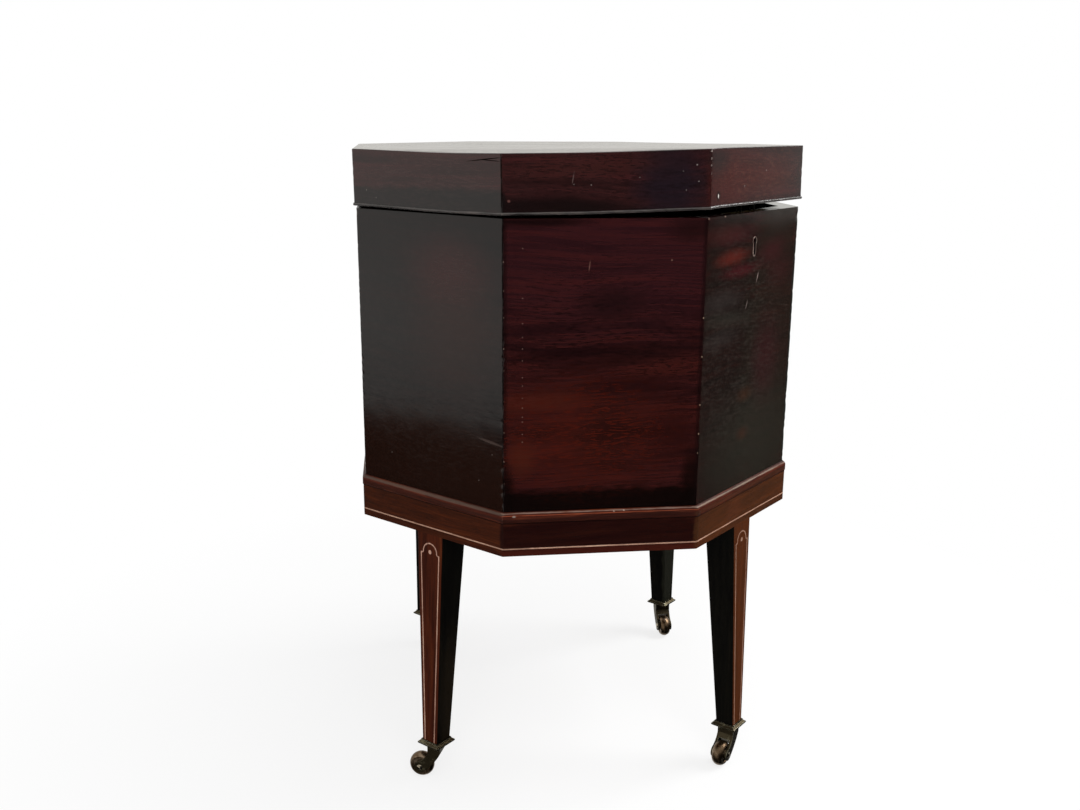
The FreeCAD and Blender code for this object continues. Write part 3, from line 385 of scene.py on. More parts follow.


# Cast brass is sandy to the eye. Its skin goes brown and dull, and handling keeps the treads and the
# riveted ends of the axles bright. The eased edges and the ledges of the plates are paler, partly
# rubbed and partly painted highlight. The screws are blued steel, nearly black.
castor_brass = metal("castor_brass_brown_skin", "#4a4232", "#868068", 0.32, 1.2)
rubbed_and_highlit_brass = metal("castor_brass_rubbed_edges_painted_highlight", "#8c8874", "#c8c4b0", 0.26, 1.2, show=(0.4, 0.6))
wheel_brass = metal("wheel_brass_brown_skin", "#6e5a46", "#a4907c", 0.2, 1.6, show=(0.5, 0.75))
axle_brass = metal("axle_brass_rubbed_bright", "#8a7c68", "#d2c8b4", 0.04, 1.2, show=(0.3, 0.6))
steel = metal("steel_screw_blued", "#3c3a38", "#77736c", 0.3, 1.0)


EASED_OVER = math.radians(35)    # edges that turn by more than this are eased


def eased(node, width, material, rubbed, curved=4, ledge=None):
    """A carried-over shape with its sharp edges taken off, rubbed and painted with highlight, and a
    flat ledge at one height with them, painted the same. Faces of up to curved corners are strips of a
    round surface, and those with more are flats."""
    bm = bmesh.new()
    bm.from_mesh(nodes[node].data)
    welded(bm)
    bmesh.ops.dissolve_limit(bm, angle_limit=ONE_FLAT, verts=bm.verts, edges=bm.edges)
    edges = [e for e in bm.edges if e.is_manifold and e.calc_face_angle(0) > EASED_OVER]
    rounds = bmesh.ops.bevel(bm, geom=edges, offset=width, segments=2, profile=0.5,
                             affect="EDGES", clamp_overlap=True, material=1)["faces"]
    for face in bm.faces:
        face.smooth = face in rounds or len(face.verts) <= curved
        if ledge and face.normal.z > 0.9 and abs(face.calc_center_median().z - ledge) < 0.6 * MM:
            face.material_index = 1
    return finished(bm, node, [material, rubbed])


eased("castor_plates", PLATE_EASE, castor_brass, rubbed_and_highlit_brass, curved=0, ledge=PLATE_LEDGE)
for which in ("front", "back", "left", "right"):
    eased(f"castor_{which}_horn", HORN_EASE, castor_brass, rubbed_and_highlit_brass)
    coat(wheel_brass, f"castor_{which}_wheel")
    coat(axle_brass, f"castor_{which}_axle")
coat(steel, "castor_screws")

# --- Stand rails, stringing and top moulding ----------------------------------------------------
# Eight mitred mahogany rails with a boxwood line near the foot of each, and a rounded moulding
# glued on top that hides the foot of the case. Blocks of deal stiffen the corners inside.

FACES = range(0, 360, EIGHTH)    # the ways that the eight faces look
HALF_EIGHTH = math.radians(EIGHTH / 2)
SLOPE = math.tan(HALF_EIGHTH)    # how fast a length widens outwards on each side, to its mitres
WORN_TO = 5.0 * MM               # wear reaches this far from an arris
BITES = 5 * MM                   # small bites come about this far apart along an arris,
DIPS = 24 * MM                   # long shallow dips this far,
RUBS = 30 * MM                   # and rubbed stretches this far
LEVEL = 0.01 * MM                # heights closer than this are one level
SKIN = 0.05 * MM                 # points nearer to the outer face than this are on it
SPECK = (0.1 * MM) ** 2          # a face of less than this area is too small to have a way to look
UNDER = 0.2 * MM                 # a point this far under a face is inside its own length


def cut(bm, point, normal):
    """Adds the edges where a plane crosses a mesh."""
    bmesh.ops.bisect_plane(bm, geom=bm.verts[:] + bm.edges[:] + bm.faces[:], dist=0.001 * MM,
                           plane_co=point, plane_no=normal)


def lengths_of(node, base):
    """The mitred lengths in a node, each turned so that its outer face looks along +X."""
    whole = bmesh.new()
    whole.from_mesh(nodes[node].data)
    whole.transform(base.inverted())
    layer = whole.faces.layers.int.new("eighth")
    for face in whole.faces:
        within = face.calc_center_median() - face.normal * UNDER
        face[layer] = round(math.degrees(math.atan2(within.y, within.x)) / EIGHTH) % len(FACES)
    for eighth in sorted({face[layer] for face in whole.faces}):
        bm = whole.copy()
        layer_here = bm.faces.layers.int["eighth"]
        others = [face for face in bm.faces if face[layer_here] != eighth]
        bmesh.ops.delete(bm, geom=others, context="FACES")
        bm.transform(Matrix.Rotation(math.radians(-eighth * EIGHTH), 4, "Z"))
        welded(bm)
        yield eighth, bm
    whole.free()


def unevenness(place, size, salt):
    """Smooth noise from -1 to 1, the same for both boards that meet at an arris."""
    return noise.noise(Vector(place) / size + Vector((salt, 2 * salt, 0)))


def wear_length(bm, eighth, radius, rows, bite, chips, salt, columns=0):
    """Rounds the upright arrises of one mitred length to a radius, and takes small bites out of
    them. rows and columns are how far apart it is cut, for the bites and for bending. bite is the
    depth of the deepest, chips the share of the arris that has any, and salt shuffles them."""
    top = max(v.co.z for v in bm.verts)
    low = min(v.co.z for v in bm.verts)
    width = max(v.co.y for v in bm.verts)
    flat = radius * SLOPE
    for side in (-1, 1):
        for inset in (flat / 3, flat * 2 / 3, flat, flat + 0.6 * MM, WORN_TO / 2, WORN_TO):
            cut(bm, Vector((0, -side * inset, 0)), Vector((SLOPE, -side, 0)))
    count = int((top - low) / rows)
    for row in range(1, count):
        cut(bm, Vector((0, 0, low + (top - low) * row / count)), Vector((0, 0, 1)))
    if columns:
        count = int(2 * width / columns)
        for column in range(1, count):
            cut(bm, Vector((0, -width + 2 * width * column / count, 0)), Vector((0, 1, 0)))
    front = {}
    for v in bm.verts:
        level = round(v.co.z / LEVEL)
        front[level] = max(front.get(level, 0), v.co.x)
    wear = bm.verts.layers.float.new("wear")
    turn = Matrix.Rotation(math.radians(eighth * EIGHTH), 3, "Z")
    for v in bm.verts:
        x, y, z = v.co
        if x < front[round(z / LEVEL)] - SKIN:
            continue
        for side in (-1, 1):
            inset = SLOPE * x - side * y
            if inset > WORN_TO:
                continue
            arris = turn @ Vector((x, side * SLOPE * x, z))
            deep = max(0.0, unevenness(arris, BITES, salt) + 2 * chips - 1) * bite
            deep += max(0.0, unevenness(arris, DIPS, salt + 3)) * bite * 0.3
            near = 1 - inset / WORN_TO
            if inset < flat:
                swing = (1 - inset / flat) * HALF_EIGHTH
                v.co.x = x - radius * (1 - math.cos(swing))
                v.co.y = side * (SLOPE * (x - radius) + radius * math.sin(swing))
            v.co.x -= deep * near ** 3
            v.co.y -= side * SLOPE * deep * near ** 3
            v[wear] = max(v[wear], near ** 4 * (0.75 + unevenness(arris, RUBS, salt + 7)))
    bm.normal_update()
    for face in bm.faces:
        planed = max(abs(part) for part in face.normal) > 0.9999 or face.calc_area() < SPECK
        near = min(abs(SLOPE * v.co.x - abs(v.co.y)) for v in face.verts) < WORN_TO
        face.smooth = near or not planed


def joined(node, base, shape, *materials):
    """Puts the lengths of a node back in place as one piece, each shaped first."""
    whole = bmesh.new()
    for eighth, bm in lengths_of(node, base):
        if shape:
            shape(bm, eighth)
        reach = max(v.co.x for v in bm.verts)
        lay_grain(bm, lambda p: Vector((p.y, p.z, eighth + 1 + reach - p.x)))
        bm.transform(base @ Matrix.Rotation(math.radians(eighth * EIGHTH), 4, "Z"))
        mesh = bpy.data.meshes.new("length")
        bm.to_mesh(mesh)
        bm.free()
        whole.from_mesh(mesh)
        bpy.data.meshes.remove(mesh)
    return finished(whole, node, materials)


FRIEZE_R = out_to("stand_rails_left_right")
MOULD_R = out_to("stand_top_moulding")
QUIRK_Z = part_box("stand_top_moulding")[0].z / MM


def worn_rail(bm, eighth):
    wear_length(bm, eighth, radius=2.8 * MM, rows=6 * MM, bite=0.5 * MM, chips=0.4, salt=11)


def worn_moulding(bm, eighth):
    wear_length(bm, eighth, radius=2.4 * MM, rows=20 * MM, bite=0.6 * MM, chips=0.45, salt=12)


def quirk_shade(reach):
    """Painted shade in the quirk under the moulding, all the way round."""
    return [mark_at(face, 0, QUIRK_Z, 400, 0.6, "#0c0504", 0.7, 0.4, reach=reach) for face in FACES]


STAND_MARKS = [mark_at(*mark, reach=FRIEZE_R) for mark in (
    # the three face-wide tones are painted light and shade: browner and paler on the front face, where
    # the window falls, nearly black on the corner face, between on the left face; the red band low on
    # the corner face and the faint red patch on the front are the wood's own
    (LEFT, 0, 298, 160, 24, "#3a1a0a", 0.5, 0.2),
    (CORNER, 0, 298, 160, 20, "#1c0504", 0.9, 0.3),
    (CORNER, 0, 281.5, 160, 4, "#40140a", 0.7, 0.4),
    (FRONT, 0, 298, 160, 24, "#462812", 0.6, 0.3),
    (FRONT, -19, 300, 14, 10, "#5c2c18", 0.25, 0.8),
)]
# The rails have a thin hard polish over straight reddish grain, and look dark brown from the side.
stand_mahogany = wood("stand_mahogany_polished", ("#260b05", "#3e1608", "#5c280e"), (140, 6), (30, 0.9),
                      0.34, STAND_MARKS + quirk_shade(FRIEZE_R), worn="#1c0a06", pore=0.8, ior=1.17,
                      line=1.3)
MOULD_MARKS = [mark_at(*mark, reach=MOULD_R) for mark in (
    # left face: painted shade over the lower half, and a grey painted highlight along the round top
    (LEFT, 0, 315.5, 160, 2.2, "#2e120a", 0.6, 0.4),
    (LEFT, 0, 321.5, 160, 1.6, "#5a4a40", 0.65, 0.3),
    # corner face: painted shade over the lower half, and along the round top a pale painted highlight,
    # a painted dark line and an orange-red painted highlight
    (CORNER, 0, 315, 160, 2.6, "#260a05", 0.75, 0.5),
    (CORNER, 0, 322.1, 160, 0.5, "#8a7468", 0.7, 0.5, 0, 1.2),
    (CORNER, 0, 321, 160, 0.3, "#140604", 0.6, 0.5, 0, 0.8),
    (CORNER, 0, 320, 160, 0.35, "#96482c", 0.6, 0.5, 0, 1.0),
    # front face, where the window falls: lighter painted shade over the lower half, and a painted
    # highlight along the round top
    (FRONT, 0, 316, 160, 2.4, "#3c2010", 0.6, 0.4),
    (FRONT, 0, 321.6, 160, 0.6, "#84705f", 0.7, 0.5, 0, 0.9),
    # small chips on the corner face
    (CORNER, -84.7, 319.3, 1.5, 0.9, "#8c8076", 0.8),
    (CORNER, 12.4, 321.2, 0.7, 0.5, "#c0a898", 0.8),
    (CORNER, 22.2, 321.8, 0.9, 0.5, "#c0a898", 0.8),
)]
# The moulding is rubbed nearly matt. The lines along its round top are painted highlight, with a
# painted dark line among them on the corner face, and its lower half is painted in shade.
moulding_mahogany = wood("moulding_mahogany_rubbed", ("#2c0e06", "#48180a", "#642c12"), (120, 4),
                         (30, 0.8), 0.42, MOULD_MARKS + quirk_shade(MOULD_R), worn="#6a4a3c", pore=0.4,
                         ior=1.24, tooth=0.5)
# Boxwood is fine and even, and shows as a pale tan line with hardly any grain.
line_boxwood = wood("boxwood_stringing_under_old_polish", ("#7c5a48", "#ae846e", "#c8a288"), (30, 2),
                    (6, 0.5), 0.4, worn="#7c5848", pore=0.3)

for node in ("stand_rail_front", "stand_rail_back", "stand_rails_left_right", "stand_rails_diagonal"):
    joined(node, UPRIGHT, worn_rail, stand_mahogany)
joined("stand_stringing", UPRIGHT, worn_rail, line_boxwood)
joined("stand_top_moulding", UPRIGHT, worn_moulding, moulding_mahogany)

# Deal, sawn and planed and left bare: yellow-brown, with wide soft grain.
DEAL = {"tones": ("#6c4c2a", "#97744a", "#b08c5c"), "figure": (90, 5), "streak": (30, 1.2),
        "polish": 0.62, "pore": 0.4}
coat(wood("deal_planed_bare", grain="z", **DEAL), "stand_corner_blocks")

# --- Case ---------------------------------------------------------------------------------------
# Eight mahogany boards, mitred and glued into an octagon round an oak bottom. French polished and
# darkened by age and dirt, most at the foot and along the arrises, with the odd chip.

CASE_MARKS = [mark_at(*mark) for mark in (
    # left face: nearly black with dirt, browner near the top right, with a scuff low down
    (LEFT, 0, 465, 160, 240, "#0d0c0c", 0.85, 0.1),
    (LEFT, 28, 548, 40, 26, "#46191a", 0.35, 0.9),
    (LEFT, 34, 490, 44, 50, "#34160f", 0.3, 0.9),
    (LEFT, 0, 350, 160, 56, "#22110a", 0.7, 0.3),
    (LEFT, 80, 390, 15, 1.2, "#5a4c46", 0.4, 0.5, -7),
    (LEFT, 81, 378, 0.5, 0.5, "#8a8078", 0.6),
    (LEFT, 64, 349, 0.5, 0.5, "#8a8078", 0.6),
    (LEFT, -54, 355, 0.5, 0.5, "#8a8078", 0.6),
    # corner face: red, warmer below the middle, with dark clouds and a black foot and edges
    (CORNER, 0, 560, 160, 60, "#30151a", 0.4, 0.6),
    (CORNER, -20, 395, 80, 48, "#3c140c", 0.5, 0.8),
    (CORNER, -60, 432, 40, 8, "#4c1e12", 0.4, 0.9, 4),
    (CORNER, 60, 462, 34, 9, "#441a14", 0.4, 0.9, 6),
    (CORNER, -78, 376, 12, 14, "#4c2012", 0.4, 0.9),
    (CORNER, -60, 500, 44, 5, "#1a0a0c", 0.7, 0.7, 4),
    (CORNER, 5, 524, 26, 14, "#150a0b", 0.65, 0.9),
    (CORNER, -34, 477, 60, 5, "#180809", 0.7, 0.7, 5),
    (CORNER, 30, 474, 50, 7, "#150808", 0.65, 0.8, 6),
    (CORNER, 20, 446, 44, 8, "#170809", 0.6, 0.8, 4),
    (CORNER, 8, 400, 24, 26, "#170908", 0.55, 0.9),
    (CORNER, 66, 400, 26, 22, "#1c0807", 0.5, 0.9),
    (CORNER, 0, 321, 330, 23, "#090504", 0.95, 0.2),
    (CORNER, -92, 345, 7, 22, "#0a0504", 0.8, 0.6),
    (CORNER, 88, 350, 9, 26, "#0a0504", 0.8, 0.6),
    (CORNER, 80, 590, 20, 10, "#120808", 0.6, 0.8),
    (CORNER, -95, 465, 4, 400, "#0c0606", 0.6, 0.5),
    (CORNER, 95, 465, 4, 400, "#0c0606", 0.6, 0.5),
    (CORNER, -60, 598, 40, 4, "#0c0606", 0.8, 0.6),
    (CORNER, -15, 558, 0.5, 4.5, "#6c4c44", 0.7, 0.5, -6),
    (CORNER, 61.7, 562.8, 0.7, 0.7, "#8a6a5c", 0.7),
    # front face: dark on the left under a grey bloom, red by the keyhole, scratched
    (FRONT, -50, 460, 62, 200, "#171310", 0.8, 0.3),
    (FRONT, 52, 460, 62, 200, "#1e1a15", 0.75, 0.3),
    (FRONT, 20, 360, 100, 60, "#262620", 0.6, 0.7),
    (FRONT, -62, 520, 34, 9, "#34302e", 0.35, 0.8, 2),
    (FRONT, -46, 500, 44, 7, "#30302a", 0.35, 0.8, -3),
    (FRONT, -66, 482, 30, 8, "#34302e", 0.3, 0.8, 3),
    (FRONT, -44, 560, 26, 6, "#52201a", 0.75, 0.9, 3),
    (FRONT, -26, 546, 30, 5, "#42161a", 0.6, 0.9, 2),
    (FRONT, -40, 580, 30, 7, "#34181a", 0.6, 0.9, 2),
    (FRONT, 36, 450, 24, 34, "#34161a", 0.45, 0.9),
    (FRONT, 97, 460, 6, 240, "#1c2422", 0.7, 0.5),
    (FRONT, 39.7, 507, 1.4, 0.5, "#54463f", 0.6, 0.6, -12),
    (FRONT, 38, 560, 24, 10, "#38171a", 0.55, 0.9, 8),
    (FRONT, 60, 540, 24, 14, "#341618", 0.4, 0.9),
    (FRONT, -60, 583, 34, 8, "#3a1c1a", 0.5, 0.9),
    (FRONT, 9.2, 535.8, 0.45, 4.6, "#a08c88", 0.75, 0.6, -22),
    (FRONT, -11.2, 510.3, 0.4, 4.0, "#8a7a76", 0.7, 0.6, -22),
    (FRONT, -6, 418, 12, 6, "#46291a", 0.3, 0.9),
    (FRONT, -6, 377, 10, 5, "#46261a", 0.3, 0.9),
    (FRONT, -94, 600, 0.9, 0.7, "#8a7468", 0.7),
    (FRONT, -63, 600.2, 1.2, 0.6, "#8a7468", 0.7),
)]
# a row of pin pricks down the corner face, and small chips down its two arrises
CASE_MARKS += [mark_at(CORNER, -76.5, up, 0.45, 0.45, "#8a6e64", 0.65) for up in (
    574.5, 529.1, 505.7, 492.9, 482.1, 471.0, 454.8,
    447.0, 435.1, 425.8, 416.9, 412.2, 400.2, 392.5)]
CASE_MARKS += [mark_at(CORNER, -94, up, 0.5, 0.6, "#8a7468", 0.6, deep=5) for up in (
    562.4, 536.1, 511.3, 482.4, 461.7, 432.1, 402.1, 373.6, 351.7)]
CASE_MARKS += [mark_at(CORNER, 94, up, 0.6, 0.7, "#a08a74", 0.7, deep=5) for up in (
    508.3, 471.2, 424.3, 395.6, 376.5)]
CASE_MARKS += [mark_at(*mark, flecked=True) for mark in (
    (LEFT, 0, 465, 110, 140, "#4c4440", 0.07, 0.3),
    (CORNER, 0, 445, 110, 110, "#0c0505", 0.6, 0.5),
    (CORNER, -20, 400, 80, 50, "#5a1c10", 0.4, 0.6),
    (FRONT, -20, 470, 90, 120, "#524c46", 0.15, 0.5),
)]
# the mitre between the left and the corner face has opened
CASE_CRACKS = [mark_at(LEFT, 94.4, up, 0.7, 24, "#080404", 0.9, 0.5, lean, 0.8, crack=True)
               for up, lean in ((352, 0.4), (398, -0.5), (446, 0.3), (494, -0.3), (540, 0.5),
                                (584, -0.4))]


def case_board(name, face, cracks=(), ior=1.46):
    """The wood of one board of the case, with the marks on its own face. French polish fills the
    pores and is nearly a mirror, so the red-black wood shows the room."""
    marks = [mark for mark in CASE_MARKS if mark["face"] == face]
    return wood("case_mahogany_french_polished_" + name, ("#1b0a0b", "#2c1111", "#3a1512"), (150, 11),
                (60, 2.2), 0.05, [*marks, *cracks], worn="#0c0605", pore=0.1, dull=0.06, ior=ior,
                line=1.2)


def worn_case(bm, eighth):
    wear_length(bm, eighth, radius=2.0 * MM, rows=2 * MM, bite=1.1 * MM, chips=0.48, salt=5)


case_plain = case_board("plain", None)
for node, case_wood in (("case_side_front", case_board("front", FRONT)),
                        ("case_side_left", case_board("left", LEFT, CASE_CRACKS, ior=1.44)),
                        ("case_sides_front_diagonal", case_board("corner", CORNER, CASE_CRACKS)),
                        ("case_side_back", case_plain), ("case_side_right", case_plain),
                        ("case_sides_back_diagonal", case_plain)):
    joined(node, UPRIGHT, worn_case, case_wood)
# Oak, planed and left bare: dry, brown and open-pored.
oak = wood("oak_planed_bare", ("#4a3420", "#7a5a38", "#94714a"), (80, 6), (20, 1.2), 0.6, grain="x")
coat(oak, "case_bottom_board")
coat(steel, "case_fixing_screws")

# --- Liner and bottle divisions -----------------------------------------------------------------
# A folded zinc liner keeps damp off the wood. Four thin stained boards halve over each other to
# make nine cells, and lift out.

# Rolled zinc is an even blue-grey, dull with age. The boards have a brown water stain and no shine.
zinc = metal("zinc_sheet_dull", "#6c7072", "#8c9092", 0.38, 3.0, show=(0.4, 0.7), bump=0.03 * MM,
             dirt=0.1)
coat(zinc, "zinc_liner")
for node, grain in (("bottle_dividers_long", "x"), ("bottle_dividers_cross", "y")):
    coat(wood("divider_board_stained_" + grain, ("#37291c", "#574330", "#6f573f"), (100, 6), (30, 1.2),
              0.6, grain=grain), node)

# --- Lock and keyhole plate ---------------------------------------------------------------------
# A brass box lock let in behind the front, with a bolt of two hooked prongs. The keyhole has a
# thin cast brass outline, hammered in flush, now dull and pinkish.

# Filed brass, lacquered once and now a dull gold; the outline of the keyhole is rubbed paler by keys,
# and the link, down in the gap under the lid, is painted nearly black, partly for tarnish and partly as
# painted shade. The spring is grey drawn steel.
cabinet_brass = metal("cabinet_brass_dulled", "#786038", "#a08850", 0.32, 1.0, show=(0.4, 0.7),
                      dirt=0.2)
keyhole_brass = metal("keyhole_brass_worn", "#6c5850", "#c4aca0", 0.34, 1.0, show=(0.4, 0.6),
                      metallic=0.5)
link_brass_tarnish_and_shade = metal("link_brass_tarnished_and_painted_shade", "#24231c", "#3c3c30", 0.5, 1.0)
spring_steel = metal("spring_steel_grey", "#55575a", "#7c7e80", 0.28, 1.0)
brass_screws = metal("brass_screw_dulled", "#6e5832", "#a88e54", 0.3, 0.8, show=(0.4, 0.7))
coat(link_brass_tarnish_and_shade, "link_plate")
coat(cabinet_brass, "lock_case", "lock_cap", "lock_bolt")
# the sides of the ring, round and down into the keyhole, are painted black as shade
keyhole_shade = metal("keyhole_brass_painted_black_shade", "#0a0807", "#14100e", 0.6, 1.0, metallic=0.0)
ring = bmesh.new()
ring.from_mesh(nodes["keyhole_escutcheon"].data)
for face in ring.faces:
    face.smooth = False
    face.material_index = 0 if face.normal.y < -0.7 else 1     # its front is rubbed, its sides black
finished(ring, "keyhole_escutcheon", [keyhole_brass, keyhole_shade])
coat(spring_steel, "lock_bolt_spring")
coat(brass_screws, "lock_screws", "link_plate_screws")

# --- Lid ----------------------------------------------------------------------------------------
# Eight mitred rails round a board let in flush at the top, with a half-round cock bead glued
# round the foot. It hangs on two brass butts at the back, and at rest its front stands 8 mm open.

hinge = next(joint for joint in frame["joints"] if joint["name"] == "lid_hinge")
hinge_line = Matrix.Translation(hinge["pos_m"])
ajar_by = math.radians(hinge["range_deg"][0])      # at rest it stands as far open as it can close
AJAR = hinge_line @ Matrix.Rotation(ajar_by, 4, "X") @ hinge_line.inverted()
SHUT = AJAR.inverted()
coat(cabinet_brass, "hinge_left_case_leaf", "hinge_left_lid_leaf", "hinge_right_case_leaf",
     "hinge_right_lid_leaf", "hinge_pins")
coat(brass_screws, "hinge_case_screws", "hinge_lid_screws")


def shut_heights(node):
    """The heights of the foot and the top of a piece of the lid, when it is shut."""
    heights = [(SHUT @ v.co).z for v in nodes[node].data.vertices]
    return min(heights), max(heights)


LID_R = out_to("lid_rails_left_right")
LID_Z, LID_TOP_Z = shut_heights("lid_rails_left_right")
LID_BOARD_Z = shut_heights("lid_top_board")[0]
LID_RIM = 1 * MM                 # faces that look up, within this of the top, are the rim
HANG = 3.0 * MM                  # how far the front left corner has come down
HANG_WAY = 205                   # its direction in degrees
HANG_FROM = 0.66                 # it starts at this share of the way out to that corner,
HANG_OVER = 0.26                 # and is full after this much more of it
HANG_FOOT = 12 * MM              # over the case, the foot comes into it over this height
RISE = 0.0215                    # slope of the top, up towards the back
RISE_WAY = 75                    # its direction in degrees
RISE_FROM = 10 * MM              # it starts this far behind the middle,
RISE_SOFT = 1 * MM               # is eased in by this height,
RISE_SINK = 0.06 * MM            # and this comes off it, so that the front isn't lifted
CASE_CLEAR = (CASE_R + 0.35) * MM                  # beyond this the lid is outside the case
TOP_GRID = 12 * MM               # how far apart the top board is cut, for bending,
TOP_CUTS = 18                    # and how often on each side of the middle


def facing(angle):
    """The level direction at this compass angle, in degrees from +X."""
    return Vector((math.cos(math.radians(angle)), math.sin(math.radians(angle)), 0))


def clamped(share):
    return min(max(share, 0), 1)


def wind(bm, eighth=0):
    """The lid has wound with age: its front left corner hangs and the back of its top has risen.
    Over the case its foot stays flat, so that it still shuts: only the skin and bead hang past."""
    for out in (CASE_CLEAR - SKIN, CASE_CLEAR + SKIN):
        cut(bm, Vector((out, 0, 0)), Vector((1, 0, 0)))
    turn = Matrix.Rotation(math.radians(eighth * EIGHTH), 3, "Z")
    corner = LID_R * MM / math.cos(HALF_EIGHTH)
    for v in bm.verts:
        place = turn @ v.co
        hang = clamped((place.dot(facing(HANG_WAY)) / corner - HANG_FROM) / HANG_OVER)
        hang = HANG * hang * hang * (3 - 2 * hang)
        if v.co.x < CASE_CLEAR:
            hang *= clamped((v.co.z - LID_Z) / HANG_FOOT)
        rise = RISE * (place.dot(facing(RISE_WAY)) - RISE_FROM)
        rise = (rise + math.hypot(rise, RISE_SOFT)) / 2 - RISE_SINK
        rise *= clamped((v.co.z - LID_BOARD_Z) / (LID_TOP_Z - LID_BOARD_Z))
        v.co.z += rise - hang


LID_MARKS = [mark_at(*mark, reach=LID_R, base=AJAR) for mark in (
    # a dark line under the top arris, which dips towards the hanging corner
    (LEFT, -30, 654.9, 70, 0.6, "#0a0706", 0.85, 0.3, -1.4),
    (LEFT, 60, 652.9, 40, 0.6, "#0a0706", 0.85, 0.3, -0.6),
    (CORNER, -50, 653.1, 50, 0.6, "#0a0706", 0.85, 0.3, 0.4),
    (CORNER, 40, 654.3, 56, 0.6, "#0a0706", 0.85, 0.3, 0.9),
    # left face: black at the foot, with two pin pricks
    (LEFT, 0, 610, 200, 11, "#0e0b0b", 0.85, 0.3),
    (LEFT, -77, 617, 0.5, 0.5, "#8a8078", 0.6),
    (LEFT, -64, 610, 0.5, 0.5, "#8a8078", 0.6),
    # corner face: dark at its right end and foot, scratched and pricked
    (CORNER, 58, 625, 30, 32, "#14121a", 0.75, 0.6),
    (CORNER, -50, 605, 70, 10, "#120a0a", 0.85, 0.6),
    (CORNER, -20, 640, 60, 8, "#3e1c18", 0.4, 0.9, 2),
    (CORNER, -89, 611, 1.3, 1.1, "#6a443e", 0.6),
    (CORNER, -31, 631, 0.35, 5, "#6a5a58", 0.6, 0.5, -10),
    (CORNER, -30.3, 625, 0.45, 0.45, "#9a948e", 0.6),
    (CORNER, -14.7, 624.3, 0.45, 0.45, "#9a948e", 0.6),
    (CORNER, 29.6, 630.6, 0.5, 0.5, "#8a847e", 0.5),
    (CORNER, 69.4, 635.5, 0.5, 0.4, "#8a847e", 0.5),
    (CORNER, 72.6, 618.7, 0.5, 0.5, "#8a847e", 0.5),
    (CORNER, 82.1, 641, 0.6, 0.6, "#a8a29c", 0.6),
    (CORNER, 84.1, 626.3, 0.7, 0.4, "#a8a29c", 0.6),
    # front face: red, dark at both ends, with a row of chips down its left arris and a pale one
    (FRONT, -56, 626, 40, 22, "#42100b", 0.6, 0.9),
    (FRONT, 21, 627, 40, 14, "#40130d", 0.65, 0.9),
    (FRONT, -82, 645, 18, 12, "#1c1a1a", 0.6, 0.8),
    (FRONT, 92, 627, 10, 60, "#1a1414", 0.5, 0.7),
    (FRONT, -95, 653, 0.9, 0.8, "#c0b4ac", 0.7),
    (FRONT, -94.8, 646.5, 0.5, 1.1, "#b0a49c", 0.6),
    (FRONT, -95, 640.2, 0.6, 0.9, "#b0a49c", 0.6),
    (FRONT, -94.6, 633, 0.4, 1.0, "#8a7c76", 0.5),
    (FRONT, -80.7, 612.2, 3.0, 4.2, "#0c0808", 0.8),
    (FRONT, -80.7, 612.2, 0.9, 1.7, "#d8d0c8", 0.9),
    (FRONT, 13.9, 633, 0.5, 0.45, "#9a948e", 0.6),
    (FRONT, -30.3, 619.5, 0.5, 0.5, "#9a948e", 0.6),
)]
LID_MARKS += [mark_at(*mark, reach=LID_R, base=AJAR, flecked=True) for mark in (
    (CORNER, 0, 628, 110, 30, "#120808", 0.5, 0.5),
    (FRONT, 0, 628, 100, 28, "#5c382c", 0.25, 0.5),
    (LEFT, 0, 628, 100, 28, "#5a4642", 0.1, 0.5),
)]
LID_MARKS += [mark_at(face, 0, 655.5, 95, 0.7, "#0a0706", 0.85, 0.3, reach=LID_R, base=AJAR)
              for face in FACES if face not in (LEFT, CORNER)]
# the lid has split near its top left corner, and its arrises are chipped
LID_CRACKS = [mark_at(*mark, wander=0.7, reach=LID_R, base=AJAR, crack=True) for mark in (
    (LEFT, 76, 647.4, 20, 0.45, "#050302", 1.0, 0.4, 5),
    (LEFT, 86, 646.2, 9, 0.35, "#050302", 1.0, 0.4, -3),
    (LEFT, 95.1, 640, 0.7, 15, "#080404", 0.9, 0.5, 0.6),
    (LEFT, 95.1, 616, 0.7, 13, "#080404", 0.9, 0.5, -0.6),
)]
# The sides of the lid are polished like the case, but have been handled more and shine less.
lid_mahogany = wood("lid_mahogany_french_polished", ("#220f0f", "#2e1515", "#391818"), (150, 9),
                    (60, 2.0), 0.14, LID_MARKS + LID_CRACKS, worn="#120a08", pore=0.1, line=0.6)
# The top shows the room's light, so it has had a thicker coat of polish.
TOP_POLISH = 0.4
TOP_WOOD = {"tones": ("#241410", "#3c2018", "#4c2c20"), "figure": (200, 14), "streak": (40, 1.1),
            "polish": 0.1, "dull": 0.16, "ior": 1.6}
top_mahogany = wood("lid_top_mahogany_french_polished", grain="x", **TOP_WOOD)
rim_mahogany = wood("lid_rim_mahogany_french_polished", worn="#3c2a22", **TOP_WOOD)
for polished in (top_mahogany, rim_mahogany):
    polished.node_tree.nodes["Principled BSDF"].inputs["Coat Weight"].default_value = TOP_POLISH


def lid_rail(bm, eighth):
    wear_length(bm, eighth, radius=2.0 * MM, rows=3 * MM, columns=8 * MM, bite=0.9 * MM, chips=0.45,
                salt=8)
    wind(bm, eighth)
    for face in bm.faces:
        if face.normal.z > 0.9 and face.calc_center_median().z > LID_TOP_Z - LID_RIM:
            face.material_index = 1


def cock_bead(bm, eighth):
    wear_length(bm, eighth, radius=1.6 * MM, rows=3 * MM, columns=2.5 * MM, bite=0.5 * MM, chips=0.5,
                salt=9)
    wind(bm, eighth)


for node in ("lid_rail_front", "lid_rail_back", "lid_rails_left_right", "lid_rails_diagonal"):
    joined(node, AJAR, lid_rail, lid_mahogany, rim_mahogany)
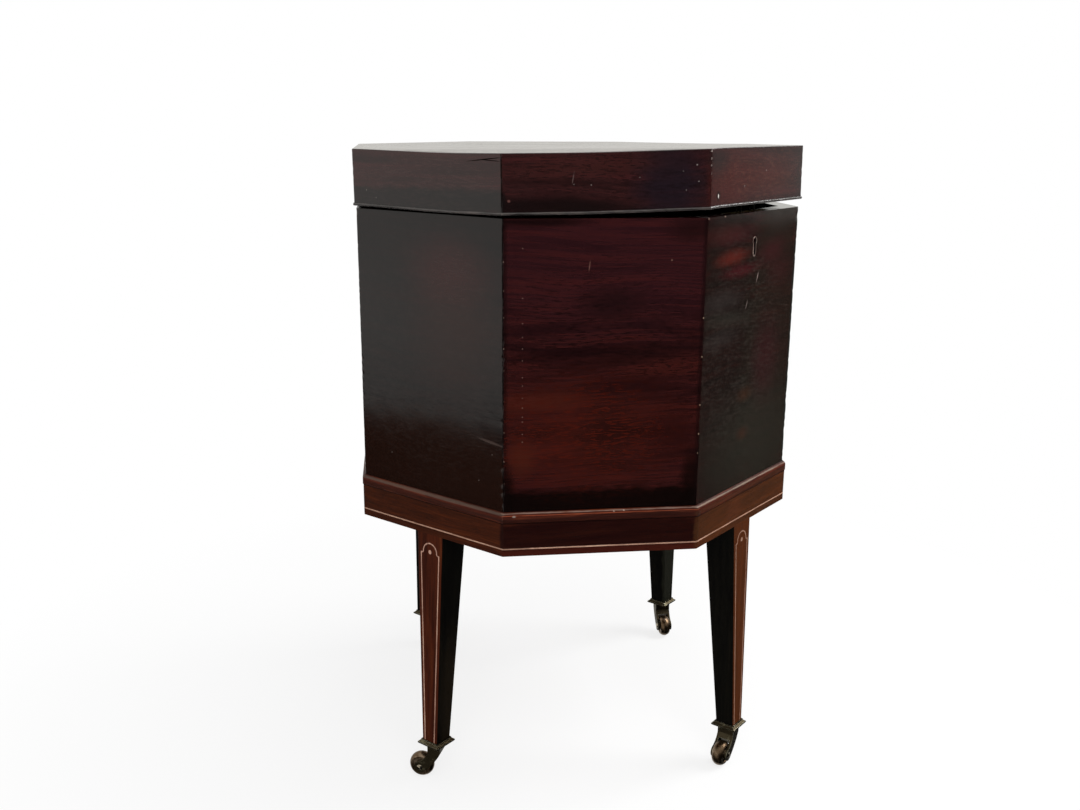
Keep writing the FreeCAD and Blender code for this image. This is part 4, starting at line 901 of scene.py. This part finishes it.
# The bead is rubbed through its polish to rough wood; its grey, and the paler grey of its rubbed
# arrises, are partly that wear and partly painted sheen.
BEAD_MARKS = [mark_at(CORNER, *mark, reach=LID_R, base=AJAR, deep=5) for mark in (
    (-46, 602.6, 9, 1.2, "#8a7050", 0.6, 0.6),
    (-62, 602.6, 5, 1.2, "#0c0a0a", 0.7, 0.6),
    (-24, 602.6, 8, 1.2, "#14100e", 0.7, 0.6),
)]
bead_mahogany = wood("bead_mahogany_rubbed_and_painted_sheen", ("#1a1716", "#383332", "#524a46"), (40, 3), (14, 0.8), 0.2,
                     BEAD_MARKS, worn="#6c6058", ior=1.6, tooth=0.8)
joined("lid_cock_beads", AJAR, cock_bead, bead_mahogany)
joined("lid_glue_blocks", AJAR, None, wood("deal_lengths_bare", worn="#97744a", **DEAL))
top = bmesh.new()
top.from_mesh(nodes["lid_top_board"].data)
top.transform(SHUT)
for step in range(-TOP_CUTS, TOP_CUTS + 1):
    cut(top, Vector((step * TOP_GRID, 0, 0)), Vector((1, 0, 0)))
    cut(top, Vector((0, step * TOP_GRID, 0)), Vector((0, 1, 0)))
wind(top)
top.transform(AJAR)
finished(top, "lid_top_board", [top_mahogany], rounded=True)

# --- Room, light and camera ---------------------------------------------------------------------
# A plain pale floor in a white room, a soft window light from the front right, and a fill.

FLOOR_HALF = 8.0                 # metres
FLOOR_CORNERS = [(x * FLOOR_HALF, y * FLOOR_HALF, 0) for x, y in ((-1, -1), (1, -1), (1, 1), (-1, 1))]
floor_mesh = bpy.data.meshes.new("floor")
floor_mesh.from_pydata(FLOOR_CORNERS, [], [(0, 1, 2, 3)])
floor = bpy.data.objects.new("floor", floor_mesh)
bpy.context.scene.collection.objects.link(floor)
floor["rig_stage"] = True
floor.visible_glossy = False
floor_paint = bpy.data.materials.new("floor_pale_paint")
floor_paint.use_nodes = True
tree = floor_paint.node_tree
tree.nodes.clear()
paint = add(tree, "ShaderNodeBsdfDiffuse", {"Color": tone("#f2f2f2")})
white = add(tree, "ShaderNodeEmission", {"Color": (1, 1, 1, 1), "Strength": 1.0})
place = add(tree, "ShaderNodeTexCoord", out="Object")
away = add(tree, "ShaderNodeVectorMath", {0: place}, out="Value", operation="LENGTH")
camera_sees = add(tree, "ShaderNodeLightPath", out="Is Camera Ray")
# the camera sees plain white, with a share of the painted floor and its shadow near the object
fade = add(tree, "ShaderNodeMapRange", {"Value": away, "From Min": 0.25, "From Max": 0.8,
                                        "To Min": 0.78, "To Max": 1.0})
share = add(tree, "ShaderNodeMath", {0: camera_sees, 1: fade}, operation="MULTIPLY")
mixed = add(tree, "ShaderNodeMixShader", {0: share, 1: paint, 2: white})
tree.links.new(mixed, tree.nodes.new("ShaderNodeOutputMaterial").inputs["Surface"])
floor_mesh.materials.append(floor_paint)

world = bpy.data.worlds.new("white_room")
world.use_nodes = True
bpy.context.scene.world = world
tree = world.node_tree
tree.nodes.clear()
ray = tree.nodes.new("ShaderNodeLightPath")
way = add(tree, "ShaderNodeTexCoord", out="Generated")
split = tree.nodes.new("ShaderNodeSeparateXYZ")
tree.links.new(way, split.inputs[0])
compass = add(tree, "ShaderNodeMath", {0: split.outputs["Y"], 1: split.outputs["X"]},
              operation="ARCTAN2")
compass = add(tree, "ShaderNodeMath", {0: compass, 1: 2 * math.pi}, operation="FLOORED_MODULO")
height = split.outputs["Z"]
# the far edge of the dark floor comes nearer towards the left
FLOOR_LEAN = 0.18
FLOOR_WAY = math.radians(133)    # the direction that the heights of that edge are given for
floor_edge = add(tree, "ShaderNodeMath", {0: compass, 1: FLOOR_LEAN, 2: height},
                 operation="MULTIPLY_ADD")


def above(angle):
    """The height, on a ball of radius 1, of what stands this many degrees above the horizon."""
    return math.sin(math.radians(angle))


def floor_at(angle):
    """The value of floor_edge this many degrees above the horizon, at FLOOR_WAY."""
    return FLOOR_LEAN * FLOOR_WAY + above(angle)


def dark_part(start, end, soft, level, pale, dark, darkness=1.0):
    """A dark part of the room, between two compass directions in degrees, with soft sides. It
    begins where level is pale, and is darkest where level is dark."""
    part = darkness
    for value, low, high in ((compass, math.radians(start - soft), math.radians(start + soft)),
                             (compass, math.radians(end + soft), math.radians(end - soft)),
                             (level, pale, dark)):
        share = add(tree, "ShaderNodeMapRange", {"Value": value, "From Min": low, "From Max": high},
                    interpolation_type="SMOOTHSTEP")
        part = add(tree, "ShaderNodeMath", {0: part, 1: share}, operation="MULTIPLY")
    return part


# What the polish mirrors: white walls, with the dark front of the room facing the middle of the
# case, a dark skirting on the window side, and a dark floor with a band of dusk along it.
seen = dark_part(200, 336, 12, height, above(30), above(12))
for part in (dark_part(310, 352, 5, height, above(-3.6), above(-5.0)),
             dark_part(100, 204, 6, floor_edge, floor_at(-14.0), floor_at(-14.6)),
             dark_part(100, 204, 6, floor_edge, floor_at(-9.0), floor_at(-14.4), 0.22)):
    seen = add(tree, "ShaderNodeMath", {0: seen, 1: part}, operation="MAXIMUM")
seen = add(tree, "ShaderNodeMix", {0: seen, 6: tone("#e2e1dc"), 7: tone("#110f0f")}, out=2,
           data_type="RGBA")
reflect = add(tree, "ShaderNodeBackground", {"Color": seen, "Strength": 1.0})
ambient = add(tree, "ShaderNodeBackground", {"Color": tone("#ffffff"), "Strength": 0.55})
backdrop = add(tree, "ShaderNodeBackground", {"Color": (1, 1, 1, 1), "Strength": 1.0})
shiny = add(tree, "ShaderNodeMath", {0: ray.outputs["Is Glossy Ray"],
                                     1: ray.outputs["Is Transmission Ray"]}, operation="MAXIMUM")
lit = add(tree, "ShaderNodeMixShader", {0: shiny, 1: ambient, 2: reflect})
lit = add(tree, "ShaderNodeMixShader", {0: ray.outputs["Is Camera Ray"], 1: lit, 2: backdrop})
tree.links.new(lit, tree.nodes.new("ShaderNodeOutputWorld").inputs["Surface"])


MIDDLE = Vector((0, 0, 0.35))      # of the whole object


def lamp(name, direction, up, away, size, power, glossy):
    """A square soft light, aimed at the middle of the object. direction is its compass angle and up
    its height, in degrees, and away and size are in metres."""
    light = bpy.data.lights.new(name, "AREA")
    light.size = size
    light.energy = power
    thing = bpy.data.objects.new(name, light)
    bpy.context.scene.collection.objects.link(thing)
    from_middle = facing(direction) * math.cos(math.radians(up)) + Vector((0, 0, above(up)))
    thing.location = MIDDLE + away * from_middle
    thing.rotation_euler = (-from_middle).to_track_quat("-Z", "Y").to_euler()
    thing.visible_camera = False
    thing.visible_glossy = glossy
    return thing


lamp("window", 320, 38, 2.6, 1.2, 52, True)
lamp("fill", 225, 40, 3.0, 2.0, 40, False)

CAMERA_AT = (-0.9932, -0.7310, 0.6845)
CAMERA_BACK = Vector((-0.7656, -0.5934, 0.2485)).normalized()
CAMERA_ROLL = 0.3416             # degrees
CAMERA_LENS = 36.69              # mm, on a sensor 36 mm wide
camera_data = bpy.data.cameras.new("camera")
camera_data.lens = CAMERA_LENS
camera_data.sensor_width = 36.0
camera_data.clip_start = 0.01
camera = bpy.data.objects.new("camera", camera_data)
bpy.context.scene.collection.objects.link(camera)
level = Vector((0, 0, 1)).cross(CAMERA_BACK).normalized()
upright = CAMERA_BACK.cross(level)
roll = math.radians(CAMERA_ROLL)
right = level * math.cos(roll) + upright * math.sin(roll)
up = upright * math.cos(roll) - level * math.sin(roll)
facing_case = Matrix((right, up, CAMERA_BACK)).transposed().to_4x4()
camera.matrix_world = Matrix.Translation(CAMERA_AT) @ facing_case
bpy.context.scene.camera = camera
bpy.context.scene.view_settings.view_transform = "Standard"

boxes = [[list(corner) for corner in box] for box in (cad_box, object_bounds())]
